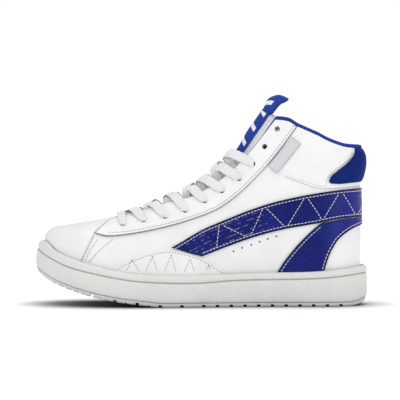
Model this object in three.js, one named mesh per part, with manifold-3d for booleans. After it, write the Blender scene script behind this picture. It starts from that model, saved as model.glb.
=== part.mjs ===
// Basketball high top, left shoe, in millimetres. +Z is up, the toe points to -X and the outer
// (lateral) side faces -Y. Shapes are drawn on the side pattern, x from the toe tip and z from the
// ground, and laid on one smooth last surface; each layer is an offset from that surface.
import * as THREE from 'three';
import { mergeVertices } from 'three/addons/utils/BufferGeometryUtils.js';
import Module from 'manifold-3d';

const wasm = await Module();
wasm.setup();

// ---- driving dimensions ----------------------------------------------------------------------
const LENGTH = 295; // heel to toe over the sole
const WIDTH = 108; // across the ball of the foot
const COLLAR_HEIGHT = 164; // ground to the front of the collar
const RIM_WALL = 3.6; // cupsole side wall
const TREAD = 3.5; // outsole rubber
const CUP_FLOOR = 3.4;
const TREAD_GROOVE = { width: 3, depth: 2.2 };
const LEATHER = 1.3; // quarter and vamp
const OVERLAY = 1.2; // stripe, eyestay and the other sewn-on panels
const LINING = 0.9;
const STIFFENER = 1.4; // toe puff and heel counter
const FACING = 2.6; // backing under the eyestay
const COLLAR_PAD = 6.4;
const TONGUE = { face: 1.2, foam: 5, lining: 1, halfWidth: 25, topHalfWidth: 19 };
const EYELET = 5; // hole diameter
const LACE = { width: 8, thickness: 1.2, eyeletWidth: 3.4, eyeletThickness: 2, tail: 4 };
const AGLET = { diameter: 4.4, length: 22 };
const STRAP = { halfWidth: 11, thickness: 1.5 };
const LABEL = { width: 10.5, length: 33, thickness: 0.9 };
const GAP = 0.3; // clearance between neighbouring pieces
const SEAM_GAP = 0.5; // clearance under a panel that is sewn over another
const UPPER_INSET = RIM_WALL + GAP + SEAM_GAP + OVERLAY + 0.2; // quarters' outer face to the sole's edge
const BOARD = 1.5; // insole board
const LINER = 4; // sockliner

// The pattern below was drawn for a 295 x 108 x 164 shoe and is graded to the sizes above.
const GX = LENGTH / 295;
const GY = WIDTH / 108;
const GZ = COLLAR_HEIGHT / 164;

// ---- helpers for curves ----------------------------------------------------------------------
const clamp = (v, low, high) => Math.min(high, Math.max(low, v));
const mix = (a, b, t) => a + (b - a) * t;
const smooth = (a, b, v) => {
  const t = clamp((v - a) / (b - a), 0, 1);
  return t * t * (3 - 2 * t);
};

// A smooth function through points, constant beyond its ends.
function through(points, gradeX = GX, gradeValue = 1) {
  const at = points.map(([x, v]) => [x * gradeX, v * gradeValue]);
  const last = at.length - 1;
  const slope = at.map((p, i) => {
    const [a, b] = [at[Math.max(i - 1, 0)], at[Math.min(i + 1, last)]];
    return (b[1] - a[1]) / (b[0] - a[0]);
  });
  return (x) => {
    if (x <= at[0][0]) return at[0][1];
    if (x >= at[last][0]) return at[last][1];
    const i = at.findIndex((p) => p[0] > x) - 1;
    const h = at[i + 1][0] - at[i][0];
    const t = (x - at[i][0]) / h;
    return (
      (2 * t ** 3 - 3 * t ** 2 + 1) * at[i][1] +
      (t ** 3 - 2 * t ** 2 + t) * h * slope[i] +
      (3 * t ** 2 - 2 * t ** 3) * at[i + 1][1] +
      (t ** 3 - t ** 2) * h * slope[i + 1]
    );
  };
}

// ---- the sole's plan and profile -------------------------------------------------------------
const TOE_BEND = 75 * GX; // where the toe starts to round off
const HEEL_BEND = 250 * GX;
const lateralHalf = through(
  [[0, 49], [60, 52.5], [105, 54], [150, 47], [190, 41], [230, 39], [295, 38.5]],
  GX,
  GY,
);
const medialHalf = through(
  [[0, 47], [50, 51.5], [85, 54], [130, 46], [180, 37.5], [230, 37.5], [295, 38.5]],
  GX,
  GY,
);
const centreLine = through([[0, 10], [25, 6], [50, 2], [80, 0], [120, 0]], GX, GY);
const solePattern = through(
  [[0, 31.5], [5, 27.5], [20, 19.5], [40, 12.5], [60, 7.5], [80, 4],
    [100, 1.6], [116, 0], [275, 0], [285, 1.2], [295, 5]],
  GX,
  GZ,
);
const soleBottom = (x) => Math.max(0, solePattern(x));
const rimTop = through(
  [[0, 57], [8, 56], [20, 48], [40, 40.5], [60, 35], [80, 30.8],
    [100, 28.8], [130, 28], [200, 29.8], [250, 31], [292, 35.5]],
  GX,
  GZ,
);
const grooveLine = through(
  [[0, 50.5], [10, 44.5], [30, 35.5], [50, 30.3], [80, 24.5],
    [100, 22.3], [140, 21], [180, 23.3], [250, 24.7], [290, 28.8]],
  GX,
  GZ,
);
const bedThickness = through([[0, 12.2], [110, 12.2], [210, 20], [295, 20]], GX, GZ);
const midsoleTop = (x) => soleBottom(x) + bedThickness(x);
const boardBottom = (x) => midsoleTop(x) + GAP;
const featherLine = (x) => boardBottom(x) + BOARD + GAP; // where the upper stands on the insole board

const half = (x, side, inset) => (side < 0 ? lateralHalf(x) : medialHalf(x)) - inset;
const closing = (reach, full, power) => Math.max(0, 1 - clamp(reach / full, 0, 1) ** power) ** (1 / power);
const toeRound = (x, inset) => closing(TOE_BEND - x, TOE_BEND - inset, 2.3);
const heelRound = (x, inset) => closing(x - HEEL_BEND, LENGTH - inset - HEEL_BEND, 2.3);

// A closed loop of points round the sole at an inset, with z given by a function of x.
const AROUND = 24; // steps along each side
function soleLoop(inset, height) {
  const loop = [];
  for (let i = 0; i < 2 * AROUND; i++) {
    const side = i <= AROUND ? -1 : 1;
    const along = (1 - Math.cos((Math.PI * i) / AROUND)) / 2;
    const rough = mix(inset, LENGTH - inset, along);
    const z = height(rough);
    const lean = 3.2 * (Math.max(0, z / GZ - 38) / 18) ** 2; // the toe's rim leans back
    const x = mix(inset + lean, LENGTH - inset, along);
    const round = toeRound(x, inset + lean) * heelRound(x, inset);
    const y = centreLine(x) + side * half(x, side, inset + lean) * round;
    loop.push(new THREE.Vector3(x, y, z));
  }
  return loop;
}

// ---- the last surface ------------------------------------------------------------------------
const BASE = 31 * GZ; // below this height the walls are upright
const TOE_CAP = 30 * GX; // the toe's dome closes in front of this
const ridge = through(
  [[0, 65.2], [20, 69], [40, 72.7], [70, 78], [85, 82], [100, 87.5], [112, 93], [126, 98.5],
    [140, 104.5], [150, 111.5], [166, 126], [175, 136], [185, 149], [195, 163], [205, 177],
    [230, 212], [250, 238], [275, 255], [300, 258]],
  GX,
  GZ,
);
const crownPower = through([
  [0, 4], [25, 3.6], [60, 2.1], [90, 1.5], [150, 1.45], [190, 1.9], [230, 2.6], [300, 2.8],
]);
const sidePower = through([[0, 2.4], [60, 2.2], [100, 2], [180, 2], [220, 2.3], [300, 2.4]]);
const shaftTaper = through(
  [[20, 0.995], [50, 1], [75, 0.97], [100, 0.93], [125, 0.965], [150, 0.985], [200, 0.98]],
  GZ,
);
const heelBulge = through([[20, 0], [60, 0.6], [100, 0.2], [115, 1], [130, 3], [140, 2.3], [200, 1.8]], GZ);
const heelBack = (z) => LENGTH - UPPER_INSET + heelBulge(z);

// Negative inside the last, positive outside.
function last(x, y, z) {
  const off = y - centreLine(x);
  const side = off < 0 ? -1 : 1;
  const taper = mix(1, shaftTaper(z), smooth(150 * GX, 210 * GX, x));
  const widthHere = half(x, side, UPPER_INSET) * toeRound(x, UPPER_INSET) * taper;
  if (widthHere <= 0.01) return 10; // in front of the toe
  const rise = Math.max(0, z - BASE) / (ridge(x) - BASE);
  const toe = Math.max(0, TOE_CAP - x) / (TOE_CAP - UPPER_INSET - 1);
  const heel = Math.max(0, x - HEEL_BEND) / (heelBack(z) - HEEL_BEND);
  const across = Math.abs(off) / widthHere;
  return across ** sidePower(x) + rise ** crownPower(x) + toe ** 4 + heel ** 2.3 - 1;
}

// Where a ray from inside leaves the last, with the surface's normal there.
const HALVINGS = 40; // enough to find a place to far under a micron
function cast(origin, direction) {
  let [near, far] = [0, LENGTH + COLLAR_HEIGHT];
  const at = (t) =>
    last(origin.x + direction.x * t, origin.y + direction.y * t, origin.z + direction.z * t);
  for (let i = 0; i < HALVINGS; i++) {
    const middle = (near + far) / 2;
    if (at(middle) < 0) near = middle;
    else far = middle;
  }
  const p = origin.clone().addScaledVector(direction, near);
  const h = 0.05;
  const n = new THREE.Vector3(
    last(p.x + h, p.y, p.z) - last(p.x - h, p.y, p.z),
    last(p.x, p.y + h, p.z) - last(p.x, p.y - h, p.z),
    last(p.x, p.y, p.z + h) - last(p.x, p.y, p.z - h),
  ).normalize();
  return { p, n };
}

// The side pattern's chart. u runs along x and then round the heel; up to HEEL_BEND it is x itself.
const HEEL_RADIUS = 40 * GX;
const BACK = HEEL_BEND + (HEEL_RADIUS * Math.PI) / 2; // u at the middle of the heel
const unroll = (x) =>
  x <= HEEL_BEND ? x : HEEL_BEND + HEEL_RADIUS * Math.asin(clamp((x - HEEL_BEND) / HEEL_RADIUS, 0, 1));
function wall(u, z, side) {
  const turn = Math.max(0, u - HEEL_BEND) / HEEL_RADIUS;
  const x = Math.min(u, HEEL_BEND);
  const outward = new THREE.Vector3(Math.sin(turn), side * Math.cos(turn), 0);
  return cast(new THREE.Vector3(x, centreLine(x), z), outward);
}
// Girth: an angle that grows evenly from the feather edge up to the ridge.
const girth = (u, z) => {
  const x = Math.min(u, HEEL_BEND);
  const rise = (z - BASE) / (ridge(x) - BASE);
  return rise < 0 ? rise : Math.asin(clamp(rise, 0, 1) ** (crownPower(x) / 2));
};
const girthHeight = (u, angle) => {
  const x = Math.min(u, HEEL_BEND);
  const rise = angle < 0 ? angle : Math.sin(angle) ** (2 / crownPower(x));
  return BASE + rise * (ridge(x) - BASE);
};

// Points of the side pattern, graded and unrolled, as an evenly stepped line of [u, girth].
function patternLine(points, steps) {
  const graded = points.map(([x, z]) => new THREE.Vector3(unroll(x * GX), z * GZ, 0));
  const curve = new THREE.CatmullRomCurve3(graded);
  return curve.getSpacedPoints(steps).map((q) => [q.x, girth(q.x, q.y)]);
}

// The grid of surface points between two lines of the side pattern.
function bandGrid(lower, upper, rows, side) {
  return lower.map((low, i) =>
    Array.from({ length: rows + 1 }, (_, j) => {
      const u = mix(low[0], upper[i][0], j / rows);
      const angle = mix(low[1], upper[i][1], j / rows);
      return wall(u, girthHeight(u, angle), side);
    }),
  );
}
const wrapGrid = (lower, upper, rows) => [
  ...bandGrid(lower, upper, rows, -1),
  ...bandGrid(lower, upper, rows, 1).reverse().slice(1),
];

// ---- helpers for solids ----------------------------------------------------------------------
function closedGeometry(vertices, triangles) {
  const geometry = new THREE.BufferGeometry();
  const positions = vertices.flatMap((v) => [v.x, v.y, v.z]);
  geometry.setAttribute('position', new THREE.Float32BufferAttribute(positions, 3));
  const volume = triangles.reduce((sum, [a, b, c]) => {
    const cross = new THREE.Vector3().crossVectors(vertices[b], vertices[c]);
    return sum + vertices[a].dot(cross);
  }, 0);
  geometry.setIndex(triangles.flatMap(([a, b, c]) => (volume < 0 ? [a, c, b] : [a, b, c])));
  return geometry;
}

// A solid between two offsets of a grid of surface points; an offset may be a function of (i, j).
function slab(grid, inner, outer) {
  const [n, m] = [grid.length, grid[0].length];
  const depth = (offset, i, j) => (typeof offset === 'function' ? offset(i, j) : offset);
  const place = (offset) =>
    grid.flatMap((row, i) =>
      row.map(({ p, n: out }, j) => p.clone().addScaledVector(out, depth(offset, i, j))),
    );
  const vertices = [...place(outer), ...place(inner)];
  const top = (i, j) => i * m + j;
  const under = (i, j) => n * m + i * m + j;
  const triangles = [];
  const quad = (a, b, c, d) => triangles.push([a, b, c], [a, c, d]);
  for (let i = 0; i < n - 1; i++) {
    for (let j = 0; j < m - 1; j++) {
      quad(top(i, j), top(i + 1, j), top(i + 1, j + 1), top(i, j + 1));
      quad(under(i, j), under(i, j + 1), under(i + 1, j + 1), under(i + 1, j));
    }
    quad(top(i, 0), under(i, 0), under(i + 1, 0), top(i + 1, 0));
    quad(top(i, m - 1), top(i + 1, m - 1), under(i + 1, m - 1), under(i, m - 1));
  }
  for (let j = 0; j < m - 1; j++) {
    quad(top(0, j), top(0, j + 1), under(0, j + 1), under(0, j));
    quad(top(n - 1, j), under(n - 1, j), under(n - 1, j + 1), top(n - 1, j + 1));
  }
  return closedGeometry(vertices, triangles);
}

// A solid through a stack of loops round the sole, flat across at both ends.
function stack(loops) {
  const count = loops[0].length;
  const vertices = loops.flat();
  const triangles = [];
  for (let k = 0; k < loops.length - 1; k++) {
    for (let i = 0; i < count; i++) {
      const [a, b] = [k * count + i, k * count + ((i + 1) % count)];
      triangles.push([a, b, b + count], [a, b + count, a + count]);
    }
  }
  const cap = (start, flip) => {
    for (let i = 0; i < count / 2; i++) {
      const [a, b] = [start + i, start + i + 1];
      const [c, d] = [start + ((count - i) % count), start + count - i - 1];
      for (const t of [[a, c, d], [a, d, b]]) {
        if (new Set(t).size === 3) triangles.push(flip ? [t[0], t[2], t[1]] : t);
      }
    }
  };
  cap(0, false);
  cap((loops.length - 1) * count, true);
  return closedGeometry(vertices, triangles);
}

// A ribbon of rectangular section along stations {p, across, half, thick}; across stays in its plane.
function ribbon(stations) {
  const vertices = [];
  stations.forEach((s, i) => {
    const ahead = stations[Math.min(i + 1, stations.length - 1)].p;
    const behind = stations[Math.max(i - 1, 0)].p;
    const along = ahead.clone().sub(behind).normalize();
    const across = s.across.clone().addScaledVector(along, -s.across.dot(along)).normalize();
    const up = new THREE.Vector3().crossVectors(along, across);
    for (const [a, b] of [[1, 1], [-1, 1], [-1, -1], [1, -1]]) {
      vertices.push(s.p.clone().addScaledVector(across, a * s.half).addScaledVector(up, (b * s.thick) / 2));
    }
  });
  const triangles = [[0, 1, 2], [0, 2, 3]];
  for (let i = 0; i < stations.length - 1; i++) {
    for (let k = 0; k < 4; k++) {
      const [a, b] = [4 * i + k, 4 * i + ((k + 1) % 4)];
      triangles.push([a, a + 4, b + 4], [a, b + 4, b]);
    }
  }
  const end = vertices.length - 4;
  triangles.push([end, end + 2, end + 1], [end, end + 3, end + 2]);
  return closedGeometry(vertices, triangles);
}

// One body with shared corners and no triangles that have shrunk to nothing.
function cleaned(geometry) {
  const bare = geometry.clone();
  bare.deleteAttribute('normal');
  bare.deleteAttribute('uv');
  const merged = mergeVertices(bare, 1e-4);
  const index = [];
  for (let i = 0; i < merged.index.count; i += 3) {
    const corners = [0, 1, 2].map((k) => merged.index.getX(i + k));
    if (new Set(corners).size === 3) index.push(...corners);
  }
  merged.setIndex(index);
  return merged;
}
function toSolid(geometry) {
  const merged = cleaned(geometry);
  const vertProperties = new Float32Array(merged.attributes.position.array);
  const triVerts = new Uint32Array(merged.index.array);
  return new wasm.Manifold(new wasm.Mesh({ numProp: 3, vertProperties, triVerts }));
}
function cut(geometry, tools) {
  let solid = toSolid(geometry);
  for (const tool of tools) solid = solid.subtract(toSolid(tool));
  const { vertProperties, triVerts } = solid.getMesh();
  const result = new THREE.BufferGeometry();
  result.setAttribute('position', new THREE.BufferAttribute(new Float32Array(vertProperties), 3));
  result.setIndex(new THREE.BufferAttribute(new Uint32Array(triVerts), 1));
  return result;
}
// A round punch through the wall at a pattern point.
function punch([x, z], side, diameter) {
  const { p, n } = wall(x * GX, z * GZ, side);
  const pin = new THREE.CylinderGeometry(diameter / 2, diameter / 2, 24, 8);
  pin.applyQuaternion(new THREE.Quaternion().setFromUnitVectors(new THREE.Vector3(0, 1, 0), n));
  return pin.translate(p.x, p.y, p.z);
}

// ---- materials -------------------------------------------------------------------------------
const finish = (color, roughness) =>
  new THREE.MeshStandardMaterial({ color, roughness, metalness: 0 });
const WHITE_LEATHER = finish(0xeeeef0, 0.5);
const SOLE_RUBBER = finish(0xdcdcde, 0.6);
const GLOSS_BLUE = finish(0x1a2780, 0.25);
const BLUE_TEXTILE = finish(0x10339a, 0.9);
const WHITE_TEXTILE = finish(0xe4e4e6, 0.9);
const FOAM = finish(0xd8d2c0, 0.95);
const FIBREBOARD = finish(0xc9bfa6, 0.9);
const LABEL_GREY = finish(0xd5d6d8, 0.6);
const LACE_WHITE = finish(0xf2f2f2, 0.85);
const CLEAR_PLASTIC = finish(0xf0f0f2, 0.3);

const shoe = new THREE.Group();
shoe.position.set(-LENGTH / 2, 0, 0);
const add = (name, geometry, material) => {
  const mesh = new THREE.Mesh(geometry, material.clone());
  mesh.name = name;
  shoe.add(mesh);
};
const SIDES = [['lateral', -1], ['medial', 1]];

// ---- sole unit -------------------------------------------------------------------------------
const GROOVES = [52, 72.5, 92, 112, 131, ...Array.from({ length: 11 }, (_, i) => 150 + 12 * i)];
function treadGeometry() {
  const plate = stack([
    soleLoop(3, soleBottom),
    soleLoop(1.4, (x) => soleBottom(x) + 1.2),
    soleLoop(1.2, (x) => soleBottom(x) + TREAD),
  ]);
  const cutters = GROOVES.map((at) => {
    const x = at * GX;
    const height = TREAD + TREAD_GROOVE.depth;
    const box = new THREE.BoxGeometry(TREAD_GROOVE.width, 2 * WIDTH, height);
    const slope = (soleBottom(x + 1) - soleBottom(x - 1)) / 2;
    box.rotateY(-Math.atan(slope));
    return box.translate(x, 0, soleBottom(x) + TREAD_GROOVE.depth - height / 2);
  });
  return cut(plate, cutters);
}
add('outsole_tread', treadGeometry(), SOLE_RUBBER);

const cupBottom = (x) => soleBottom(x) + TREAD + GAP;
const cupFloor = (x) => cupBottom(x) + CUP_FLOOR;
add(
  'cupsole',
  stack([
    soleLoop(2, cupBottom),
    soleLoop(0.4, (x) => cupBottom(x) + 1.5),
    soleLoop(0, (x) => mix(cupBottom(x), grooveLine(x), 0.4)),
    soleLoop(0.1, (x) => grooveLine(x) - 1),
    soleLoop(0.8, grooveLine),
    soleLoop(0.1, (x) => grooveLine(x) + 1),
    soleLoop(0.6, (x) => rimTop(x) - 2.2),
    soleLoop(1.6, (x) => rimTop(x) - 0.5),
    soleLoop(2.6, rimTop),
    soleLoop(RIM_WALL, (x) => rimTop(x) - 0.6),
    soleLoop(RIM_WALL, featherLine),
    soleLoop(RIM_WALL, cupFloor),
  ]),
  SOLE_RUBBER,
);
const MIDSOLE_INSET = RIM_WALL + GAP;
const wedgeBottom = (x) => cupFloor(x) + GAP;
const wedge = stack([soleLoop(MIDSOLE_INSET, wedgeBottom), soleLoop(MIDSOLE_INSET, midsoleTop)]);
add('midsole_wedge', wedge, FOAM);
const BOARD_INSET = MIDSOLE_INSET + 1;
const boardTop = (x) => boardBottom(x) + BOARD;
const board = stack([soleLoop(BOARD_INSET, boardBottom), soleLoop(BOARD_INSET, boardTop)]);
add('insole_board', board, FIBREBOARD);
const LINER_INSET = UPPER_INSET + LEATHER + STIFFENER + LINING + 3.6;
const sockTop = (x) => featherLine(x) + LINER;
add('sockliner', stack([soleLoop(LINER_INSET, featherLine), soleLoop(LINER_INSET, sockTop)]), WHITE_TEXTILE);

// ---- the vamp and what lies inside it --------------------------------------------------------
// Girth steps run from the lateral feather edge over the ridge to the medial one.
const THROAT = through([[70, 14], [120, 16.5], [191, 20], [215, 21]], GX, GY); // half the throat's width
const FAN = 35 * GX; // the toe is a fan of rays about this station
const seamAngle = (x, z) => {
  const { p } = wall(x * GX, z * GZ, -1);
  return Math.atan2(p.z - featherLine(p.x), Math.abs(p.y - centreLine(p.x)));
};
const VAMP_SEAM = [[40, 33], [43.5, 39.5], [48.5, 50], [54, 61.5], [62, 70.5]];
const seamPoints = VAMP_SEAM.map(([x, z]) => [seamAngle(x, z), x]);
const seamReach = through([[0, 38], ...seamPoints, [Math.PI / 2, 73.5]], 1, GX);
const SEAM_OPENING = 1.6; // between the vamp's edge and the quarters
const FAN_STEPS = 6;
const VAMP_STEPS = 4;
function vampGrid() {
  const toeTilt = Math.atan2(featherLine(8 * GX) - featherLine(FAN), FAN - 8 * GX);
  const around = 16;
  return Array.from({ length: FAN_STEPS + VAMP_STEPS + 1 }, (_, i) =>
    Array.from({ length: around + 1 }, (__, j) => {
      const angle = (Math.PI * j) / around;
      const reach = seamReach(Math.min(angle, Math.PI - angle)) - SEAM_OPENING;
      const lean = Math.max(0, 1 - i / FAN_STEPS) * (Math.PI / 2 - toeTilt);
      const x = mix(FAN, reach, Math.max(0, (i - FAN_STEPS) / VAMP_STEPS));
      const up = Math.sin(angle);
      const direction = new THREE.Vector3(-Math.sin(lean) * up, -Math.cos(angle), Math.cos(lean) * up);
      return cast(new THREE.Vector3(x, centreLine(x), featherLine(x)), direction);
    }),
  );
}
// At both ends of a row the toe's fan closes in one point, so those columns are merged.
const domeSlab = (grid, inner, outer) => cleaned(slab(grid, inner, outer));
const dome = vampGrid();
const STIFFENER_OUT = -LEATHER - GAP;
const LINING_OUT = STIFFENER_OUT - STIFFENER - GAP;
add('vamp', domeSlab(dome, -LEATHER, 0), WHITE_LEATHER);
add('toe_puff', domeSlab(dome.slice(0, FAN_STEPS + 2), STIFFENER_OUT - STIFFENER, STIFFENER_OUT), FIBREBOARD);
add('vamp_lining', domeSlab(dome, LINING_OUT - LINING, LINING_OUT), WHITE_TEXTILE);

// ---- lines of the side pattern ---------------------------------------------------------------
const EYELETS = [
  [79.5, 70.5], [98, 74], [116.5, 77.5], [134, 83], [151.5, 91.5],
  [166.5, 100.5], [181.5, 111.5], [193.5, 124.5], [204, 139.5], [215, 155],
];
const EYESTAY_LOWER = [
  [55, 63.5], [65, 61.3], [80, 62.2], [100, 65.5], [120, 70], [140, 76], [155, 81.5],
  [165, 86.5], [175, 93.5], [185, 102], [195, 112], [204, 121.5], [220, 141.5], [231, 156.5],
];
// Under the eyestay the quarter ends and the facing starts along this line.
const SPLIT = [
  [57, 64.2], [70, 65.5], [80, 66.6], [100, 70], [120, 74.3], [140, 80.5], [155, 86],
  [165, 91.4], [175, 98.6], [185, 107], [195, 117], [204, 126.3], [216, 142], [226, 158.5],
];
const topline = through(
  [[200, 163.2], [216, 163.2], [225, 161.7], [232, 157.4], [240, 153.8],
    [250, 149.4], [260, 145.3], [270, 141.8], [280, 139], [300, 138.5]],
  GX,
  GZ,
);
const throatHeight = (x) => {
  const flat = (THROAT(x) / half(x, -1, UPPER_INSET)) ** sidePower(x);
  return BASE + (ridge(x) - BASE) * (1 - flat) ** (1 / crownPower(x));
};
const topEdge = (x) => Math.min(throatHeight(x), topline(x));
// Columns of u from a pattern x to the middle of the heel, evenly spaced round the heel.
const steps = (count) => Math.round(count * GX); // facets keep their length when the shoe is graded
const HEEL_STEPS = steps(8);
function columns(from, frontSteps) {
  const front = Array.from({ length: frontSteps }, (_, i) => mix(from * GX, HEEL_BEND, i / frontSteps));
  const round = Array.from({ length: HEEL_STEPS + 1 }, (_, i) => mix(HEEL_BEND, BACK, i / HEEL_STEPS));
  return [...front, ...round];
}
const xAt = (u) =>
  u <= HEEL_BEND ? u : HEEL_BEND + HEEL_RADIUS * Math.sin((u - HEEL_BEND) / HEEL_RADIUS);
const lineAt = (us, height) => us.map((u) => [u, girth(u, height(xAt(u)))]);
const evenly = (from, to, steps) =>
  Array.from({ length: steps + 1 }, (_, i) => mix(unroll(from * GX), unroll(to * GX), i / steps));
const topEdgeDown = (drop) => (x) => topEdge(x) - drop;
const joinLines = (a, b) => [...a, ...b.slice(1)];
// Both halves of a piece that is split at the back stop short of the middle.
const splitAtBack = (line) => line.map(([u, angle]) => [Math.min(u, BACK - GAP), angle]);

// ---- quarters, facings and eyestays ----------------------------------------------------------
const overlay = (grid) => slab(grid, SEAM_GAP, SEAM_GAP + OVERLAY);
const LOW_STEPS = 18;
const HIGH_STEPS = 3;
const quarterLower = lineAt(columns(39.5, LOW_STEPS + HIGH_STEPS), featherLine);
const quarterUpper = joinLines(
  patternLine([[54.5, 62.5], ...SPLIT], LOW_STEPS),
  lineAt(columns(226, HIGH_STEPS), topEdge),
);
const STAY_STEPS = 20;
for (const [name, side] of SIDES) {
  const quarter = bandGrid(splitAtBack(quarterLower), splitAtBack(quarterUpper), 7, side);
  add(`quarter_${name}`, slab(quarter, -LEATHER, 0), WHITE_LEATHER);

  const holes = EYELETS.map((at) => punch(at, side, EYELET));
  const facingLower = patternLine(SPLIT.map(([x, z]) => [x - 0.3, z + 0.7]), STAY_STEPS);
  const facingUpper = lineAt(evenly(70, 225.2, STAY_STEPS), topEdgeDown(0.2));
  const facing = slab(bandGrid(facingLower, facingUpper, 2, side), -FACING, 0);
  add(`eyelet_facing_${name}`, cut(facing, holes), WHITE_TEXTILE);

  const stayUpper = lineAt(evenly(70, 230.5, STAY_STEPS), topEdge);
  const stay = overlay(bandGrid(patternLine(EYESTAY_LOWER, STAY_STEPS), stayUpper, 3, side));
  add(`eyestay_${name}`, cut(stay, holes), WHITE_LEATHER);
}

// ---- panels sewn over the quarters -----------------------------------------------------------
const hem = (x) => rimTop(x) - 5 * GZ; // overlays run this far down inside the cupsole
const STRIPE_UPPER = [
  [122, 51.6], [130, 56], [140, 62], [150, 67.5], [170, 76], [190, 84],
  [210, 90.5], [230, 95.3], [250, 99], [270, 101.5], [280, 102.6], [290, 103.6],
];
const STRIPE_LOWER = [
  [148.5, 44], [160, 48.5], [180, 56], [200, 62.5], [220, 67.5],
  [240, 71], [260, 74.5], [275, 77], [290, 78.5],
];
const LEG_FRONT = [
  [213, 28], [220, 39], [230, 51.5], [240, 62], [249, 70],
  [253, 72.6], [262, 74.2], [275, 76.4], [290, 77.9],
];
const LEG_REAR = [[255.5, 28], [258, 36], [262, 46], [270, 58.5], [280, 67], [285, 69.8], [290, 72.5]];
const PATCH_ARCH = [
  [73.5, 33.5], [82, 38.5], [98, 45], [115, 48.8], [123, 48.8],
  [139, 45.2], [148, 42], [162, 33.5], [166, 31.5],
];
const PANEL_LOWER = [[207.5, 121], [219, 116.5], [230, 112.5], [240, 109], [250, 105.8], [259.5, 104.6]];
const HEEL_PANEL_LOWER = [[263, 107.5], [272, 107], [282, 108], [290, 109.3]];
const toBack = (points, steps) => splitAtBack(patternLine(points, steps));
for (const [name, side] of SIDES) {
  const patch = bandGrid(lineAt(evenly(73.5, 166, 12), hem), patternLine(PATCH_ARCH, 12), 2, side);
  add(`forefoot_patch_${name}`, overlay(patch), WHITE_LEATHER);
  const stripe = bandGrid(toBack(STRIPE_LOWER, steps(24)), toBack(STRIPE_UPPER, steps(24)), 3, side);
  add(`side_stripe_${name}`, overlay(stripe), GLOSS_BLUE);
  const leg = bandGrid(toBack(LEG_REAR, steps(14)), toBack(LEG_FRONT, steps(14)), 4, side);
  add(`leg_overlay_${name}`, overlay(leg), GLOSS_BLUE);
  const panelUpper = lineAt(evenly(233.5, 281.5, 8), topEdgeDown(0.2));
  const panel = bandGrid(patternLine(PANEL_LOWER, 8), panelUpper, 4, side);
  add(`collar_panel_${name}`, overlay(panel), WHITE_LEATHER);
}
const PANEL_STEPS = steps(6);
const heelPanelUpper = lineAt(evenly(284, 290, PANEL_STEPS), topEdgeDown(0.2));
const heelPanelLower = patternLine(HEEL_PANEL_LOWER, PANEL_STEPS);
add('heel_collar_panel', overlay(wrapGrid(heelPanelLower, heelPanelUpper, 4)), BLUE_TEXTILE);

// ---- inner parts of the upper ----------------------------------------------------------------
const COUNTER_TOP = 92 * GZ;
const counterColumns = columns(222, 4);
const counter = wrapGrid(lineAt(counterColumns, featherLine), lineAt(counterColumns, () => COUNTER_TOP), 3);
add('heel_counter', slab(counter, STIFFENER_OUT - STIFFENER, STIFFENER_OUT), FIBREBOARD);

const LINING_EDGE = [
  [60, 58.5], [80, 61.5], [100, 65], [120, 69.5], [140, 75.5], [160, 83],
  [175, 92.5], [190, 105], [205, 111.5], [220, 108], [240, 100], [250, 97.5],
];
const LINING_TOP = 97.5 * GZ; // round the heel, under the collar
const liningUpper = joinLines(patternLine(LINING_EDGE, 18), lineAt(columns(250, 0), () => LINING_TOP));
const lining = wrapGrid(lineAt(columns(50, 18), featherLine), liningUpper, 4);
add('quarter_lining', slab(lining, LINING_OUT - LINING, LINING_OUT), WHITE_TEXTILE);

const COLLAR_LOWER = [[226, 118], [235, 113], [245, 108], [250, 106]];
const padLower = joinLines(patternLine(COLLAR_LOWER, 4), lineAt(columns(250, 0), () => 106 * GZ));
const pad = wrapGrid(padLower, lineAt(columns(238, 4), topEdgeDown(1.2)), 3);
const COLLAR_IN = STIFFENER_OUT - COLLAR_PAD - GAP;
add('collar_foam', slab(pad, STIFFENER_OUT - COLLAR_PAD, STIFFENER_OUT), FOAM);
add('collar_lining', slab(pad, COLLAR_IN - LINING, COLLAR_IN), BLUE_TEXTILE);
const rollColumns = columns(208, 7);
const roll = wrapGrid(lineAt(rollColumns, topEdgeDown(-0.4)), lineAt(rollColumns, topEdgeDown(-2.6)), 1);
// It is thin at its ends beside the tongue and as deep as the collar from there back.
const rollDepth = (i) => mix(-FACING, COLLAR_IN - LINING, smooth(0, 4, Math.min(i, roll.length - 1 - i)));
add('collar_binding', slab(roll, rollDepth, 0.2), BLUE_TEXTILE);

// ---- tongue, on a chart that runs along the ridge --------------------------------------------
const RIDGE_DEPTH = 32; // rays start this far below the ridge
const rise = (x) => ridge(x + 0.5) - ridge(x - 0.5);
const ridgeNormal = (x) => new THREE.Vector3(-rise(x), 0, 1).normalize();
function onRidge(x, y) {
  const out = ridgeNormal(x);
  const origin = new THREE.Vector3(x, y + centreLine(x), ridge(x)).addScaledVector(out, -RIDGE_DEPTH);
  return cast(origin, out);
}
const TONGUE_FROM = 66 * GX;
const TONGUE_TO = 203 * GX;
const tongueHalf = (x) => mix(TONGUE.halfWidth, TONGUE.topHalfWidth, smooth(130 * GX, 180 * GX, x));
const TONGUE_SINK = LACE.thickness + 2 * GAP + FACING + 2; // below the upper where the laces pass
const TONGUE_CROWN = 2.5; // how far it bulges between the eyestays
const TIP_CROWN = 4.6; // and above them
function tongueCrown(x, y) {
  const full = mix(TONGUE_CROWN, TIP_CROWN, smooth(178 * GX, 190 * GX, x));
  return full * smooth(80 * GX, 98 * GX, x) * (1 - smooth(5, 14, Math.abs(y)));
}
const TONGUE_STEPS = 16;
const TONGUE_COLUMNS = [-1, -0.6, -0.25, 0.25, 0.6, 1];
const tongueAt = (i, j) => {
  const x = mix(TONGUE_FROM, TONGUE_TO, i / TONGUE_STEPS);
  return [x, TONGUE_COLUMNS[j] * tongueHalf(x)];
};
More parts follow.
